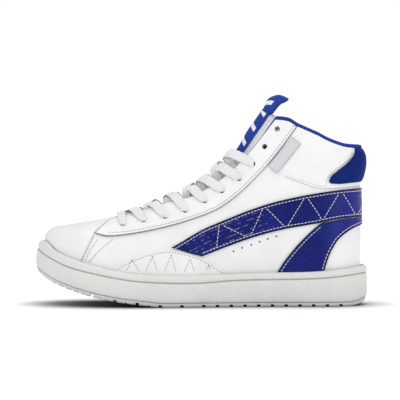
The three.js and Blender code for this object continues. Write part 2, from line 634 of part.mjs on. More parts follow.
const tongueGrid = Array.from({ length: TONGUE_STEPS + 1 }, (_, i) =>
  TONGUE_COLUMNS.map((__, j) => onRidge(...tongueAt(i, j))),
);
const tongueTop = (i, j) => -TONGUE_SINK + tongueCrown(...tongueAt(i, j));
const tongueLayer = (from, to) =>
  slab(tongueGrid, (i, j) => tongueTop(i, j) - to, (i, j) => tongueTop(i, j) - from);
add('tongue_face', tongueLayer(0, TONGUE.face), WHITE_LEATHER);
const foamFrom = TONGUE.face + GAP;
add('tongue_foam', tongueLayer(foamFrom, foamFrom + TONGUE.foam), FOAM);
const innerFrom = foamFrom + TONGUE.foam + GAP;
add('tongue_lining', tongueLayer(innerFrom, innerFrom + TONGUE.lining), BLUE_TEXTILE);

const strapFrom = 177 * GX;
const strapGrid = Array.from({ length: 7 }, (_, i) =>
  [-1, -0.5, 0, 0.5, 1].map((k) => {
    const x = mix(strapFrom, TONGUE_TO, i / 6);
    const at = onRidge(x, k * STRAP.halfWidth);
    const height = -TONGUE_SINK + tongueCrown(x, k * STRAP.halfWidth);
    return { p: at.p.addScaledVector(at.n, height), n: at.n };
  }),
);
add('pull_strap', slab(strapGrid, SEAM_GAP, SEAM_GAP + STRAP.thickness), BLUE_TEXTILE);

// The free loop stands on the tongue's top edge and leans back over it.
const tongueTip = onRidge(TONGUE_TO, 0);
const tipOut = ridgeNormal(TONGUE_TO);
const tipUp = new THREE.Vector3(tipOut.z, 0, -tipOut.x);
const tipAt = (up, out) => tongueTip.p.clone().addScaledVector(tipUp, up).addScaledVector(tipOut, out);
const LOOP = [
  [1.2, -1], [9, 0.6], [14, -1.9], [17.8, -5.6], [18.4, -8.6], [16, -10.2], [9, -9.6], [1.2, -8.6],
];
const loopCurve = new THREE.CatmullRomCurve3(LOOP.map(([up, out]) => tipAt(up, out)));
const loopStations = loopCurve.getSpacedPoints(22).map((p) => ({
  p,
  across: new THREE.Vector3(0, 1, 0),
  half: STRAP.halfWidth,
  thick: STRAP.thickness,
}));
add('pull_loop', ribbon(loopStations), BLUE_TEXTILE);

// ---- flag label, sewn by its front edge ------------------------------------------------------
const labelFoot = wall(206.5 * GX, 122.5 * GZ, -1);
const labelHead = wall(226 * GX, 147 * GZ, -1);
const LABEL_LIFT = GAP + OVERLAY + 0.9;
const hingeFrom = labelFoot.p.clone().addScaledVector(labelFoot.n, LABEL_LIFT);
const hingeAlong = labelHead.p.clone().addScaledVector(labelHead.n, LABEL_LIFT).sub(hingeFrom).normalize();
const labelOut = labelFoot.n.clone().add(labelHead.n).normalize();
const LABEL_TILT = 0.12; // its free edge stands off the collar
const labelAcross = new THREE.Vector3()
  .crossVectors(hingeAlong, labelOut)
  .normalize()
  .multiplyScalar(Math.cos(LABEL_TILT))
  .addScaledVector(labelOut, Math.sin(LABEL_TILT))
  .normalize();
const labelStations = [0.2, LABEL.length / 3, (2 * LABEL.length) / 3, LABEL.length].map((t) => ({
  p: hingeFrom.clone().addScaledVector(hingeAlong, t).addScaledVector(labelAcross, LABEL.width / 2 + GAP),
  across: labelAcross,
  half: LABEL.width / 2,
  thick: LABEL.thickness,
}));
add('flag_label', ribbon(labelStations), LABEL_GREY);

// ---- lace ------------------------------------------------------------------------------------
const LACED = 8; // rows of eyelets in use
const wide = LACE.width / 2;
const CROWNED = wide ** 2 / 60; // how far the eyestay's roundness stands up under the lace
const OVER = SEAM_GAP + OVERLAY + 0.15 + CROWNED + LACE.thickness / 2; // lace on the eyestay
const UNDER = -(FACING + 2.6); // lace between the facing and the tongue
const eyeletAt = (row, side) => wall(EYELETS[row][0] * GX, EYELETS[row][1] * GZ, side);
function stationOnRidge(point) {
  let [low, high] = [40 * GX, 240 * GX];
  for (let i = 0; i < HALVINGS; i++) {
    const x = (low + high) / 2;
    if (point.x - x + (point.z - ridge(x)) * rise(x) > 0) low = x;
    else high = x;
  }
  return low;
}
// One station of the lace on the way between two eyelets, at a height over the upper.
function laceStation(from, to, t, height, half, thick) {
  const chord = from.p.clone().lerp(to.p, t);
  const x = stationOnRidge(chord);
  const on = onRidge(x, chord.y - centreLine(x));
  const along = to.p.clone().sub(from.p).normalize();
  const across = new THREE.Vector3().crossVectors(on.n, along).normalize();
  return { p: on.p.addScaledVector(on.n, height), across, half, thick };
}
// A leg runs from under one eyelet to over the next one across: [share of the way, height over the
// upper, share of its width]. Where two legs cross, one lies lower than the other.
const crossed = (low) => [
  [0.1, UNDER, 0.8],
  [0.23, UNDER + 0.9, 0.8],
  [0.37, low, 0.85],
  [0.5, low + 0.1, 1],
  [0.63, low + 0.2, 0.85],
  [0.77, OVER + 0.1, 0.8],
  [0.9, OVER, 0.85],
];
const LOW_CROSSING = -TONGUE_SINK + TONGUE_CROWN + SEAM_GAP + wide ** 2 / 16 + LACE.thickness / 2;
const HIGH_CROSSING = LOW_CROSSING + LACE.thickness + SEAM_GAP;
function leg(fromRow, side, low) {
  const [from, to] = [eyeletAt(fromRow, side), eyeletAt(fromRow + 1, -side)];
  return crossed(low).map(([t, height, share]) =>
    laceStation(from, to, t, height, share * wide, LACE.thickness),
  );
}
// Down through an eyelet, from over the eyestay to under the facing.
function hole(row, side, across) {
  const at = eyeletAt(row, side);
  return [OVER + 0.4, SEAM_GAP + OVERLAY - 0.2, -FACING + 0.2, UNDER + 0.1].map((height, i) => ({
    p: at.p.clone().addScaledVector(at.n, height),
    across,
    half: LACE.eyeletWidth / 2,
    thick: i % 3 === 0 ? LACE.thickness : LACE.eyeletThickness,
  }));
}
// Where the lace goes on from the last eyelet: down the inside of the wall, as [x, z, depth].
const TAIL_WALL = [
  [197.2, 121.9, 5.5], [203, 114.5, 6.6], [208.5, 100, 7.2],
  [211.5, 82, 7.2], [212.5, 64, 7.6], [211, 46, 9.5],
];
const insideWall = ([x, z, depth], side) => {
  const at = wall(x * GX, z * GZ, side);
  return at.p.addScaledVector(at.n, -depth);
};
function halfLace(side) {
  const stations = [];
  let here = side;
  for (let row = 0; row < LACED - 1; row++) {
    const legStations = leg(row, here, side > 0 ? HIGH_CROSSING : LOW_CROSSING);
    stations.push(...hole(row, here, legStations[0].across), ...legStations);
    here = -here;
  }
  const across = stations.at(-1).across;
  const [start, next] = TAIL_WALL.map((at) => insideWall(at, here));
  const onward = next.clone().sub(start).normalize();
  const turned = new THREE.Vector3().crossVectors(eyeletAt(LACED - 1, here).n, onward).normalize();
  const end = start.clone().addScaledVector(onward, -3 * GAP);
  const last = { p: end, across: turned, half: LACE.tail / 2, thick: LACE.thickness };
  return [...stations, ...hole(LACED - 1, here, across), last];
}
// The bar straight across between the first two eyelets, a little narrower at its ends.
const bar = [0.1, 0.25, 0.5, 0.75, 0.9].map((t) => {
  const share = Math.abs(t - 0.5) > 0.3 ? 0.8 : 1;
  return laceStation(eyeletAt(0, -1), eyeletAt(0, 1), t, OVER, share * wide, LACE.thickness);
});
const alignAcross = (stations) => {
  for (let i = 1; i < stations.length; i++) {
    const { across } = stations[i];
    if (across.dot(stations[i - 1].across) < 0) stations[i].across = across.clone().negate();
  }
  return stations;
};
const laceStations = alignAcross([...halfLace(-1).reverse(), ...bar, ...halfLace(1)]);
add('lace', ribbon(laceStations), LACE_WHITE);

// ---- the lace's free ends, tucked inside -----------------------------------------------------
// Each leaves the last eyelet's inner side, runs down the side wall and forward on the sockliner.
// Its place on the footbed is given as [x, share of the half width].
const TAIL_BED = [[202, 0.58], [184, 0.5], [160, 0.5], [135, 0.55], [110, 0.55], [94, 0.52], [80, 0.46]];
const TAIL_STEP = 12; // length of one facet along it
const tailLift = 4 * GAP + LACE.tail / 2;
for (const [name, side] of SIDES) {
  const route = TAIL_WALL.map((at) => insideWall(at, side));
  for (const [x, share] of TAIL_BED) {
    const y = centreLine(x * GX) + side * share * half(x * GX, side, LINER_INSET);
    route.push(new THREE.Vector3(x * GX, y, sockTop(x * GX) + tailLift));
  }
  const section = new THREE.Shape().absarc(0, 0, LACE.tail / 2, 0, 2 * Math.PI);
  const extrudePath = new THREE.CatmullRomCurve3(route);
  const facets = Math.round(extrudePath.getLength() / TAIL_STEP);
  const tail = new THREE.ExtrudeGeometry(section, { steps: facets, extrudePath, curveSegments: 4 });
  add(`lace_tail_${name}`, cleaned(tail), LACE_WHITE);

  const end = route.at(-1);
  const nextX = end.x - AGLET.length;
  const onward = new THREE.Vector3(nextX, end.y, sockTop(nextX) + tailLift + GAP).sub(end).normalize();
  const aglet = new THREE.CylinderGeometry(AGLET.diameter / 2, AGLET.diameter / 2, AGLET.length, 8);
  aglet.applyQuaternion(new THREE.Quaternion().setFromUnitVectors(new THREE.Vector3(0, 1, 0), onward));
  const middle = end.clone().addScaledVector(onward, 2 * GAP + AGLET.length / 2);
  add(`aglet_${name}`, cleaned(aglet.translate(middle.x, middle.y, middle.z)), CLEAR_PLASTIC);
}

export default shoe;
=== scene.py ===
"""The looks of a white and blue basketball high top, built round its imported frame.

Shapes are worked out in millimetres on the side pattern, x from the toe tip and z from the ground,
and laid on one smooth last surface; each layer is an offset from it. Meshes are made in metres.
"""

import math

import bpy
import numpy as np
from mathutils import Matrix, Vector


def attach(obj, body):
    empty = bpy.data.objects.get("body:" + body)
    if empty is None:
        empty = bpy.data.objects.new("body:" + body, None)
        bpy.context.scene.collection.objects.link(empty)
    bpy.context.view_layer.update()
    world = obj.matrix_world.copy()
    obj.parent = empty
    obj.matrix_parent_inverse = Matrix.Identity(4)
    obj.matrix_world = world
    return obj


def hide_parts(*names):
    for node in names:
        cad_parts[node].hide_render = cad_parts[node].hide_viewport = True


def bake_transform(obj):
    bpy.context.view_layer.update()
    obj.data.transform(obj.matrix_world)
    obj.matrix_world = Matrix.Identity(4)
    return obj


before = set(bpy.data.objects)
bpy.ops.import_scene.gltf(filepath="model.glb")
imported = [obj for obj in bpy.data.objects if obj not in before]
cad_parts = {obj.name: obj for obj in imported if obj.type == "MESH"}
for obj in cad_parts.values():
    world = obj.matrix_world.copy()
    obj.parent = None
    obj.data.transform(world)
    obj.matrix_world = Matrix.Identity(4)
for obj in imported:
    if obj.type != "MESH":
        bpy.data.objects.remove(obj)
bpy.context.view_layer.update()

MM = 0.001
LENGTH = 295.0
LATERAL, MEDIAL = -1, 1
SIDES = (("lateral", LATERAL), ("medial", MEDIAL))


# ---- camera, floor and light ---------------------------------------------------------------------
VIEW_WIDTH = 0.3556
LENS = 200.0
SENSOR = 36.0
LOOK_AT = Vector((-0.0008, 0.0, 0.0925))
CAMERA_TILT = math.radians(1.2)


def make_camera():
    distance = VIEW_WIDTH * LENS / SENSOR
    away = Vector((0, -math.cos(CAMERA_TILT), math.sin(CAMERA_TILT)))
    bpy.ops.object.camera_add(location=LOOK_AT + away * distance)
    camera = bpy.context.object
    camera.name = "camera"
    camera.rotation_euler = (-away).to_track_quat("-Z", "Y").to_euler()
    camera.data.lens = LENS
    camera.data.sensor_width = SENSOR
    camera.data.clip_end = 50
    bpy.context.scene.camera = camera


def softbox(name, location, size, power):
    bpy.ops.object.light_add(type="AREA", location=location)
    lamp = bpy.context.object
    lamp.name = name
    lamp.data.shape = "RECTANGLE"
    lamp.data.size, lamp.data.size_y = size
    lamp.data.energy = power
    lamp.rotation_euler = (Vector((0, 0, 0.08)) - Vector(location)).to_track_quat("-Z", "Y").to_euler()


FLOOR_SIZE = 12
# the second floor colour is painted shadow where the sole nearly meets the floor
FLOOR_LIT, FLOOR_PAINTED_SHADOW = (0.93, 0.93, 0.93), (0.1, 0.1, 0.1)
SHADOW_REACH, SHADOW_POWER = 0.038, 1.5
GLOW_STARTS, GLOW_FULL = 0.3, 1.1
GLOW_NEAR, GLOW_FAR = 0.16, 0.95
WORLD_LIGHT, WORLD_SEEN = 0.55, 1.0
SOFTBOXES = [
    ("key_softbox", (-0.7, -1.5, 1.5), (1.1, 0.8), 8),
    ("front_fill", (1.2, -1.9, 0.6), (1.0, 1.0), 6.5),
    ("top_softbox", (0.0, 0.2, 1.7), (1.8, 1.2), 10),
    ("back_light", (0.5, 1.5, 1.0), (1.4, 0.8), 5.5),
]


def make_floor():
    """A pale floor with a painted contact shadow: darker where the sole nearly meets it, and glowing softly
    further out.
    """
    bpy.ops.mesh.primitive_plane_add(size=FLOOR_SIZE, location=(0, 0, 0))
    floor = bpy.context.object
    floor.name = "floor"
    material = bpy.data.materials.new("pale_floor")
    material.use_nodes = True
    shader = material.node_tree.nodes["Principled BSDF"]
    shader.inputs["Roughness"].default_value = 0.9
    shader.inputs["Emission Color"].default_value = (1, 1, 1, 1)
    tree = material.node_tree
    # painted contact shadow: ambient occlusion darkens the floor's colour and glow next to the sole
    contact = tree.nodes.new("ShaderNodeAmbientOcclusion")
    contact.inputs["Distance"].default_value = SHADOW_REACH
    contact.samples = 8
    unshadowed = math_node(tree, "POWER", contact.outputs["AO"], SHADOW_POWER)
    away = tree.nodes.new("ShaderNodeVectorMath")
    away.operation = "LENGTH"
    tree.links.new(tree.nodes.new("ShaderNodeTexCoord").outputs["Object"], away.inputs[0])
    glow = remap(tree, away.outputs["Value"], GLOW_STARTS, GLOW_FULL, GLOW_NEAR, GLOW_FAR)
    base = colours(tree, unshadowed, FLOOR_PAINTED_SHADOW, FLOOR_LIT)
    tree.links.new(base, shader.inputs["Base Color"])
    tree.links.new(math_node(tree, "MULTIPLY", glow, unshadowed), shader.inputs["Emission Strength"])
    floor.data.materials.append(material)


def make_world():
    """White surroundings, dimmer as a light than as a backdrop."""
    world = bpy.data.worlds.new("studio")
    bpy.context.scene.world = world
    world.use_nodes = True
    tree = world.node_tree
    background = tree.nodes["Background"]
    background.inputs["Color"].default_value = (1, 1, 1, 1)
    seen = tree.nodes.new("ShaderNodeLightPath").outputs["Is Camera Ray"]
    strength = tree.nodes.new("ShaderNodeMapRange")
    strength.inputs["To Min"].default_value = WORLD_LIGHT
    strength.inputs["To Max"].default_value = WORLD_SEEN
    tree.links.new(seen, strength.inputs["Value"])
    tree.links.new(strength.outputs["Result"], background.inputs["Strength"])
    bpy.context.scene.view_settings.view_transform = "Standard"


def make_stage():
    make_floor()
    for box in SOFTBOXES:
        softbox(*box)
    make_world()


# ---- curves and surfaces of the last -------------------------------------------------------------
def mix(a, b, t):
    return a + (b - a) * t


def smooth(a, b, v):
    t = np.clip((v - a) / (b - a), 0, 1)
    return t * t * (3 - 2 * t)


def through(points):
    """A smooth function through points, constant beyond its ends."""
    x, v = np.array(points, float).T
    slope = np.empty_like(v)
    slope[1:-1] = (v[2:] - v[:-2]) / (x[2:] - x[:-2])
    slope[0] = (v[1] - v[0]) / (x[1] - x[0])
    slope[-1] = (v[-1] - v[-2]) / (x[-1] - x[-2])

    def value(at):
        q = np.clip(at, x[0], x[-1])
        i = np.clip(np.searchsorted(x, q, side="right") - 1, 0, len(x) - 2)
        h = x[i + 1] - x[i]
        t = (q - x[i]) / h
        start = (2 * t**3 - 3 * t**2 + 1) * v[i] + (t**3 - 2 * t**2 + t) * h * slope[i]
        end = (3 * t**2 - 2 * t**3) * v[i + 1] + (t**3 - t**2) * h * slope[i + 1]
        return start + end

    return value


TOE_BEND, HEEL_BEND = 75.0, 250.0
lateral_half = through([[0, 49], [60, 52.5], [105, 54], [150, 47], [190, 41], [230, 39], [295, 38.5]])
medial_half = through([[0, 47], [50, 51.5], [85, 54], [130, 46], [180, 37.5], [230, 37.5], [295, 38.5]])
centre_line = through([[0, 10], [25, 6], [50, 2], [80, 0], [120, 0]])
sole_pattern = through(
    [[0, 31.5], [5, 27.5], [20, 19.5], [40, 12.5], [60, 7.5], [80, 4],
     [100, 1.6], [116, 0], [275, 0], [285, 1.2], [295, 5]]
)
rim_top = through(
    [[0, 57], [8, 56], [20, 48], [40, 40.5], [60, 35], [80, 30.8],
     [100, 28.8], [130, 28], [200, 29.8], [250, 31], [292, 35.5]]
)
groove_line = through(
    [[0, 50.5], [10, 44.5], [30, 35.5], [50, 30.3], [80, 24.5],
     [100, 22.3], [140, 21], [180, 23.3], [250, 24.7], [290, 28.8]]
)
bed_thickness = through([[0, 12.2], [110, 12.2], [210, 20], [295, 20]])
UPPER_INSET = 5.8
RIM_WALL = 3.6
TREAD = 3.5
GAP = 0.3
LEATHER = 1.3
LINING = 0.9


def sole_bottom(x):
    return np.maximum(0, sole_pattern(x))


def midsole_top(x):
    return sole_bottom(x) + bed_thickness(x)


def feather_line(x):
    return midsole_top(x) + 2.1


def half(x, side, inset):
    return np.where(side < 0, lateral_half(x), medial_half(x)) - inset


def closing(reach, full, power):
    return np.maximum(0, 1 - np.clip(reach / full, 0, 1) ** power) ** (1 / power)


def sole_ring(inset, height, share=1.0, around=150):
    """A loop round the sole at an inset; share draws it in towards the centre line."""
    i = np.arange(2 * around)
    side = np.where(i <= around, -1, 1)
    along = (1 - np.cos(np.pi * i / around)) / 2
    z = height(mix(inset, LENGTH - inset, along))
    lean = 3.2 * (np.maximum(0, z - 38) / 18) ** 2
    x = mix(inset + lean, LENGTH - inset, along)
    toe = closing(TOE_BEND - x, TOE_BEND - inset - lean, 2.3)
    heel = closing(x - HEEL_BEND, LENGTH - inset - HEEL_BEND, 2.3)
    y = centre_line(x) + share * side * half(x, side, inset + lean) * toe * heel
    return np.stack([x, y, z], -1)


BASE, TOE_CAP = 31.0, 30.0
ridge = through(
    [[0, 65.2], [20, 69], [40, 72.7], [70, 78], [85, 82], [100, 87.5], [112, 93], [126, 98.5],
     [140, 104.5], [150, 111.5], [166, 126], [175, 136], [185, 149], [195, 163], [205, 177],
     [230, 212], [250, 238], [275, 255], [300, 258]]
)
crown_power = through(
    [[0, 4], [25, 3.6], [60, 2.1], [90, 1.5], [150, 1.45], [190, 1.9], [230, 2.6], [300, 2.8]]
)
side_power = through([[0, 2.4], [60, 2.2], [100, 2], [180, 2], [220, 2.3], [300, 2.4]])
shaft_taper = through(
    [[20, 0.995], [50, 1], [75, 0.97], [100, 0.93], [125, 0.965], [150, 0.985], [200, 0.98]]
)
heel_bulge = through([[20, 0], [60, 0.6], [100, 0.2], [115, 1], [130, 3], [140, 2.3], [200, 1.8]])


def last(p):
    """Negative inside the last, positive outside."""
    x, y, z = p[..., 0], p[..., 1], p[..., 2]
    off = y - centre_line(x)
    taper = mix(1, shaft_taper(z), smooth(150, 210, x))
    width = half(x, off, UPPER_INSET) * closing(TOE_BEND - x, TOE_BEND - UPPER_INSET, 2.3) * taper
    rise = np.maximum(0, z - BASE) / (ridge(x) - BASE)
    toe = np.maximum(0, TOE_CAP - x) / (TOE_CAP - UPPER_INSET - 1)
    back = LENGTH - UPPER_INSET + heel_bulge(z)
    heel = np.maximum(0, x - HEEL_BEND) / (back - HEEL_BEND)
    across = np.abs(off) / np.maximum(width, 0.01)
    value = across ** side_power(x) + rise ** crown_power(x) + toe**4 + heel**2.3 - 1
    return np.where(width <= 0.01, 10.0, value)


def unit(v):
    return v / np.maximum(np.linalg.norm(v, axis=-1, keepdims=True), 1e-12)


def cast(origin, direction):
    """Where rays from inside leave the last, with the surface's normals there."""
    near = np.zeros(origin.shape[:-1])
    far = np.full(origin.shape[:-1], 320.0)
    for _ in range(30):
        middle = (near + far) / 2
        inside = last(origin + direction * middle[..., None]) < 0
        near = np.where(inside, middle, near)
        far = np.where(inside, far, middle)
    p = origin + direction * near[..., None]
    step = np.eye(3) * 0.05
    n = np.stack([last(p + s) - last(p - s) for s in step], -1)
    return p, unit(n)


HEEL_RADIUS = 40.0
BACK = HEEL_BEND + HEEL_RADIUS * math.pi / 2


def unroll(x):
    x = np.asarray(x, float)
    bent = HEEL_BEND + HEEL_RADIUS * np.arcsin(np.clip((x - HEEL_BEND) / HEEL_RADIUS, 0, 1))
    return np.where(x <= HEEL_BEND, x, bent)


def x_at(u):
    bent = HEEL_BEND + HEEL_RADIUS * np.sin(np.maximum(0, u - HEEL_BEND) / HEEL_RADIUS)
    return np.where(u <= HEEL_BEND, u, bent)


def wall(u, z, side):
    u, z = np.broadcast_arrays(np.asarray(u, float), np.asarray(z, float))
    turn = np.maximum(0, u - HEEL_BEND) / HEEL_RADIUS
    x = np.minimum(u, HEEL_BEND)
    direction = np.stack([np.sin(turn), side * np.cos(turn), np.zeros_like(turn)], -1)
    return cast(np.stack([x, centre_line(x), z], -1), direction)


def girth(u, z):
    x = np.minimum(u, HEEL_BEND)
    rise = (z - BASE) / (ridge(x) - BASE)
    return np.where(rise < 0, rise, np.arcsin(np.clip(rise, 0, 1) ** (crown_power(x) / 2)))


def girth_height(u, angle):
    x = np.minimum(u, HEEL_BEND)
    rise = np.where(angle < 0, angle, np.sin(np.maximum(angle, 0)) ** (2 / crown_power(x)))
    return BASE + rise * (ridge(x) - BASE)


def curve_through(points, per_gap):
    """Dense points on a smooth curve through points, per_gap to each gap between them."""
    p = np.vstack([2 * points[0] - points[1], points, 2 * points[-1] - points[-2]])
    t = np.linspace(0, 1, per_gap, endpoint=False)[:, None]
    dense = []
    for a, b, c, d in zip(p, p[1:], p[2:], p[3:]):
        ab, bc, cd = (np.linalg.norm(q) ** 0.5 + 1e-9 for q in (b - a, c - b, d - c))
        into = ((b - a) / ab - (c - a) / (ab + bc) + (c - b) / bc) * bc
        out = ((c - b) / bc - (d - b) / (bc + cd) + (d - c) / cd) * bc
        square = 3 * (c - b) - 2 * into - out
        cube = 2 * (b - c) + into + out
        dense.append(b + t * into + t**2 * square + t**3 * cube)
    return np.vstack([*dense, points[-1:]])


def spline(points, count):
    """count + 1 evenly spaced points on a smooth curve through points."""
    return evenly_spaced(curve_through(np.array(points, float), 24), count)


def lengths_along(points):
    return np.concatenate([[0], np.cumsum(np.linalg.norm(np.diff(points, axis=0), axis=1))])


def evenly_spaced(points, count):
    at = lengths_along(points)
    wanted = np.linspace(0, at[-1], count + 1)
    return np.stack([np.interp(wanted, at, points[:, k]) for k in range(points.shape[1])], -1)


def pattern_line(points, steps):
    """A line of the side pattern as evenly spaced (u, girth)."""
    graded = [(float(unroll(x)), z) for x, z in points]
    line = spline(graded, steps)
    return np.stack([line[:, 0], girth(line[:, 0], line[:, 1])], -1)


def line_at(us, height):
    return np.stack([us, girth(us, height(x_at(us)))], -1)


def evenly(start, end, steps):
    return np.linspace(float(unroll(start)), float(unroll(end)), steps + 1)


def columns(start, step=1.2):
    """Columns of u from a pattern x to the middle of the heel."""
    return np.linspace(float(unroll(start)), BACK, int((BACK - float(unroll(start))) / step) + 1)


def band(lower, upper, rows, side, front=None, rear=None):
    """Rows from a lower to an upper line; front and rear bow its ends by their share of the height."""
    share = np.linspace(0, 1, rows + 1)
    u = mix(lower[:, :1], upper[:, :1], share)
    along = np.linspace(0, 1, len(lower))[:, None]
    if front:
        u = u + front(share) * (1 - along) ** 2
    if rear:
        u = u + rear(share) * along**2
    angle = mix(lower[:, 1:], upper[:, 1:], share)
    return wall(u, girth_height(u, angle), side)


def wrap(lower, upper, rows, front=None):
    """A band round the heel, from the lateral side to the medial one."""
    outer, inner = (band(lower, upper, rows, side, front) for side in (LATERAL, MEDIAL))
    return tuple(np.concatenate([a, b[::-1][1:]]) for a, b in zip(outer, inner))


# ---- meshes --------------------------------------------------------------------------------------
def to_frame(points):
    return (points - np.array([LENGTH / 2, 0, 0])) * MM


def deselect():
    bpy.ops.object.select_all(action="DESELECT")


def activate(piece):
    deselect()
    piece.select_set(True)
    bpy.context.view_layer.objects.active = piece


def sheet_of(name, points, marks=None, uv=None):
    """A grid primitive whose points are laid at points[i][j], in millimetres.

    marks are named values per point; uv is in millimetres."""
    n, m = points.shape[:2]
    deselect()
    bpy.ops.mesh.primitive_grid_add(x_subdivisions=m - 1, y_subdivisions=n - 1, size=1)
    piece = bpy.context.object
    piece.name = name
    mesh = piece.data
    mesh.name = name
    mesh.vertices.foreach_set("co", to_frame(points).astype(np.float32).ravel())
    if uv is None:
        along = np.linalg.norm(np.diff(points, axis=0), axis=2).mean(1)
        across = np.linalg.norm(np.diff(points, axis=1), axis=2).mean(0)
        u = np.concatenate([[0], np.cumsum(along)])[:, None] + np.zeros(m)
        v = np.concatenate([[0], np.cumsum(across)])[None, :] + np.zeros((n, 1))
        uv = np.stack([u, v], -1)
    corners = np.empty(len(mesh.loops), np.int32)
    mesh.loops.foreach_get("vertex_index", corners)
    layer = mesh.uv_layers[0] if mesh.uv_layers else mesh.uv_layers.new(name="UVMap")
    layer.data.foreach_set("uv", (uv.reshape(-1, 2)[corners] * MM).astype(np.float32).ravel())
    for mark, values in (marks or {}).items():
        attribute = mesh.attributes.new(mark, "FLOAT", "POINT")
        attribute.data.foreach_set("value", np.asarray(values, np.float32).ravel())
    mesh.update()
    return piece


def apply_modifier(piece, kind, **settings):
    activate(piece)
    modifier = piece.modifiers.new(kind.lower(), kind)
    for key, value in settings.items():
        setattr(modifier, key, value)
    bpy.ops.object.modifier_apply(modifier=modifier.name)


def smooth_shade(piece, degrees=38):
    activate(piece)
    bpy.ops.object.shade_smooth_by_angle(angle=math.radians(degrees))


def facing_out(points, normals):
    """True if a grid's faces point along the normals."""
    down = np.diff(points, axis=0)[:, :-1]
    right = np.diff(points, axis=1)[:-1]
    return (np.cross(right, down) * normals[:-1, :-1]).sum() > 0


def run_along(points):
    """How far each point of a grid is from its first row, along its column, in millimetres."""
    run = np.zeros(points.shape[:2])
    run[1:] = np.cumsum(np.linalg.norm(np.diff(points, axis=0), axis=2), axis=0)
    return run


def end_distance(points):
    """How far each point of a grid is from its nearer end, along its column, in millimetres."""
    run = run_along(points)
    return np.minimum(run, run[-1:] - run)


def border_distance(points):
    """How far each point of a grid is from its nearest border, in millimetres."""
    return np.minimum(end_distance(points), end_distance(points.transpose(1, 0, 2)).T)


def panel(name, surface, outer, thickness, rounding=0.35, puff=0.0, sewn=None, relief=None, marks=None):
    """A sewn panel: its outer face is outer above the last, with a rounded rim.

    puff swells it, sewn is how far in a row of stitches pulls it down, relief is added height."""
    points, normals = surface
    inside = border_distance(points)
    height = outer + puff * (1 - np.exp(-inside / 5)) + (0 if relief is None else relief)
    if sewn:
        height = height - (0.12 + 0.35 * min(puff, 1)) * np.exp(-(((inside - sewn) / 0.9) ** 2))
    face = points + normals * np.broadcast_to(height, points.shape[:2])[..., None]
    marks = dict(marks or {}, edge=inside)
    if not facing_out(face, normals):
        face = face[:, ::-1]
        marks = {key: np.asarray(value)[:, ::-1] for key, value in marks.items()}
    piece = sheet_of(name, face, marks)
    apply_modifier(piece, "SOLIDIFY", thickness=thickness * MM, offset=-1)
    if rounding:
        apply_modifier(
            piece, "BEVEL", width=rounding * MM, segments=2, limit_method="ANGLE",
            angle_limit=math.radians(55), miter_outer="MITER_ARC",
        )
    smooth_shade(piece)
    return piece


MERGE, COLLAPSE, FAN_MERGE = 1e-6, 1e-7, 2e-5


def close_skin(piece, cap_ends):
    """Joins a skin at its seam, caps its open ends or drops collapsed ones, and turns it outwards."""
    activate(piece)
    bpy.ops.object.mode_set(mode="EDIT")
    bpy.ops.mesh.select_all(action="SELECT")
    bpy.ops.mesh.remove_doubles(threshold=MERGE)
    if cap_ends:
        bpy.ops.mesh.select_all(action="DESELECT")
        bpy.ops.mesh.select_non_manifold()
        bpy.ops.mesh.edge_face_add()
    else:
        bpy.ops.mesh.dissolve_degenerate(threshold=COLLAPSE)
    bpy.ops.mesh.select_all(action="SELECT")
    bpy.ops.mesh.normals_make_consistent(inside=False)
    bpy.ops.object.mode_set(mode="OBJECT")


def closed_tube(name, rings, marks=None):
    """A skin over rings of points, closed at the seam; the first and last rings have drawn to a line."""
    skin = np.concatenate([rings, rings[:, :1]], axis=1)
    if marks is not None:
        marks = {key: np.concatenate([v, v[:, :1]], axis=1) for key, v in marks.items()}
    piece = sheet_of(name, skin, marks)
    close_skin(piece, cap_ends=False)
    return piece


CAP_SHARES = (0.0, 0.3, 0.6, 0.85)


def sole_solid(name, profile, groove_at=None):
    """A closed solid from (inset, height) loops, capped flat across at both ends."""
    first, final = profile[0], profile[-1]
    rings = [sole_ring(*first, share=s) for s in CAP_SHARES]
    rings += [sole_ring(*step) for step in profile]
    rings += [sole_ring(*final, share=s) for s in reversed(CAP_SHARES)]
    rings = np.array(rings)
    marks = None
    if groove_at is not None:
        in_groove = np.zeros(rings.shape[:2])
        in_groove[[len(CAP_SHARES) + k for k in groove_at]] = 1
        marks = {"groove": in_groove}
    return closed_tube(name, rings, marks)


def boolean_cut(piece, cutters):
    """Cuts a list of objects out of a piece and removes them."""
    activate(cutters[0])
    for cutter in cutters[1:]:
        cutter.select_set(True)
    if len(cutters) > 1:
        bpy.ops.object.join()
    tool = bpy.context.object
    apply_modifier(piece, "BOOLEAN", operation="DIFFERENCE", solver="EXACT", object=tool)
    activate(tool)
    bpy.ops.object.delete()


def place_into_mesh(piece):
    activate(piece)
    bpy.ops.object.transform_apply(location=True, rotation=True, scale=True)


def punch(at, side, diameter, length=12.0):
    """A round punch through the upper at a pattern point."""
    p, n = wall(float(unroll(at[0])), at[1], side)
    deselect()
    bpy.ops.mesh.primitive_cylinder_add(
        vertices=28, radius=diameter / 2 * MM, depth=length * MM, location=to_frame(p),
        rotation=Vector(n).to_track_quat("Z", "Y").to_euler(),
    )
    pin = bpy.context.object
    place_into_mesh(pin)
    return pin


def done(piece, body, slot, material, *nodes):
    """Rides on its body, stands for its nodes and takes its material."""
    piece.data.materials.clear()
    piece.data.materials.append(material)
    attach(piece, body)
    if nodes:
        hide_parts(*nodes)
    return piece


# ---- shader groups -------------------------------------------------------------------------------
def new_group(name, inputs, outputs):
    group = bpy.data.node_groups.new(name, "ShaderNodeTree")
    for socket, kind, value in inputs:
        made = group.interface.new_socket(socket, in_out="INPUT", socket_type=kind)
        if value is not None:
            made.default_value = value
    for socket, kind in outputs:
        group.interface.new_socket(socket, in_out="OUTPUT", socket_type=kind)
    nodes = group.nodes
    return group, nodes.new("NodeGroupInput"), nodes.new("NodeGroupOutput")


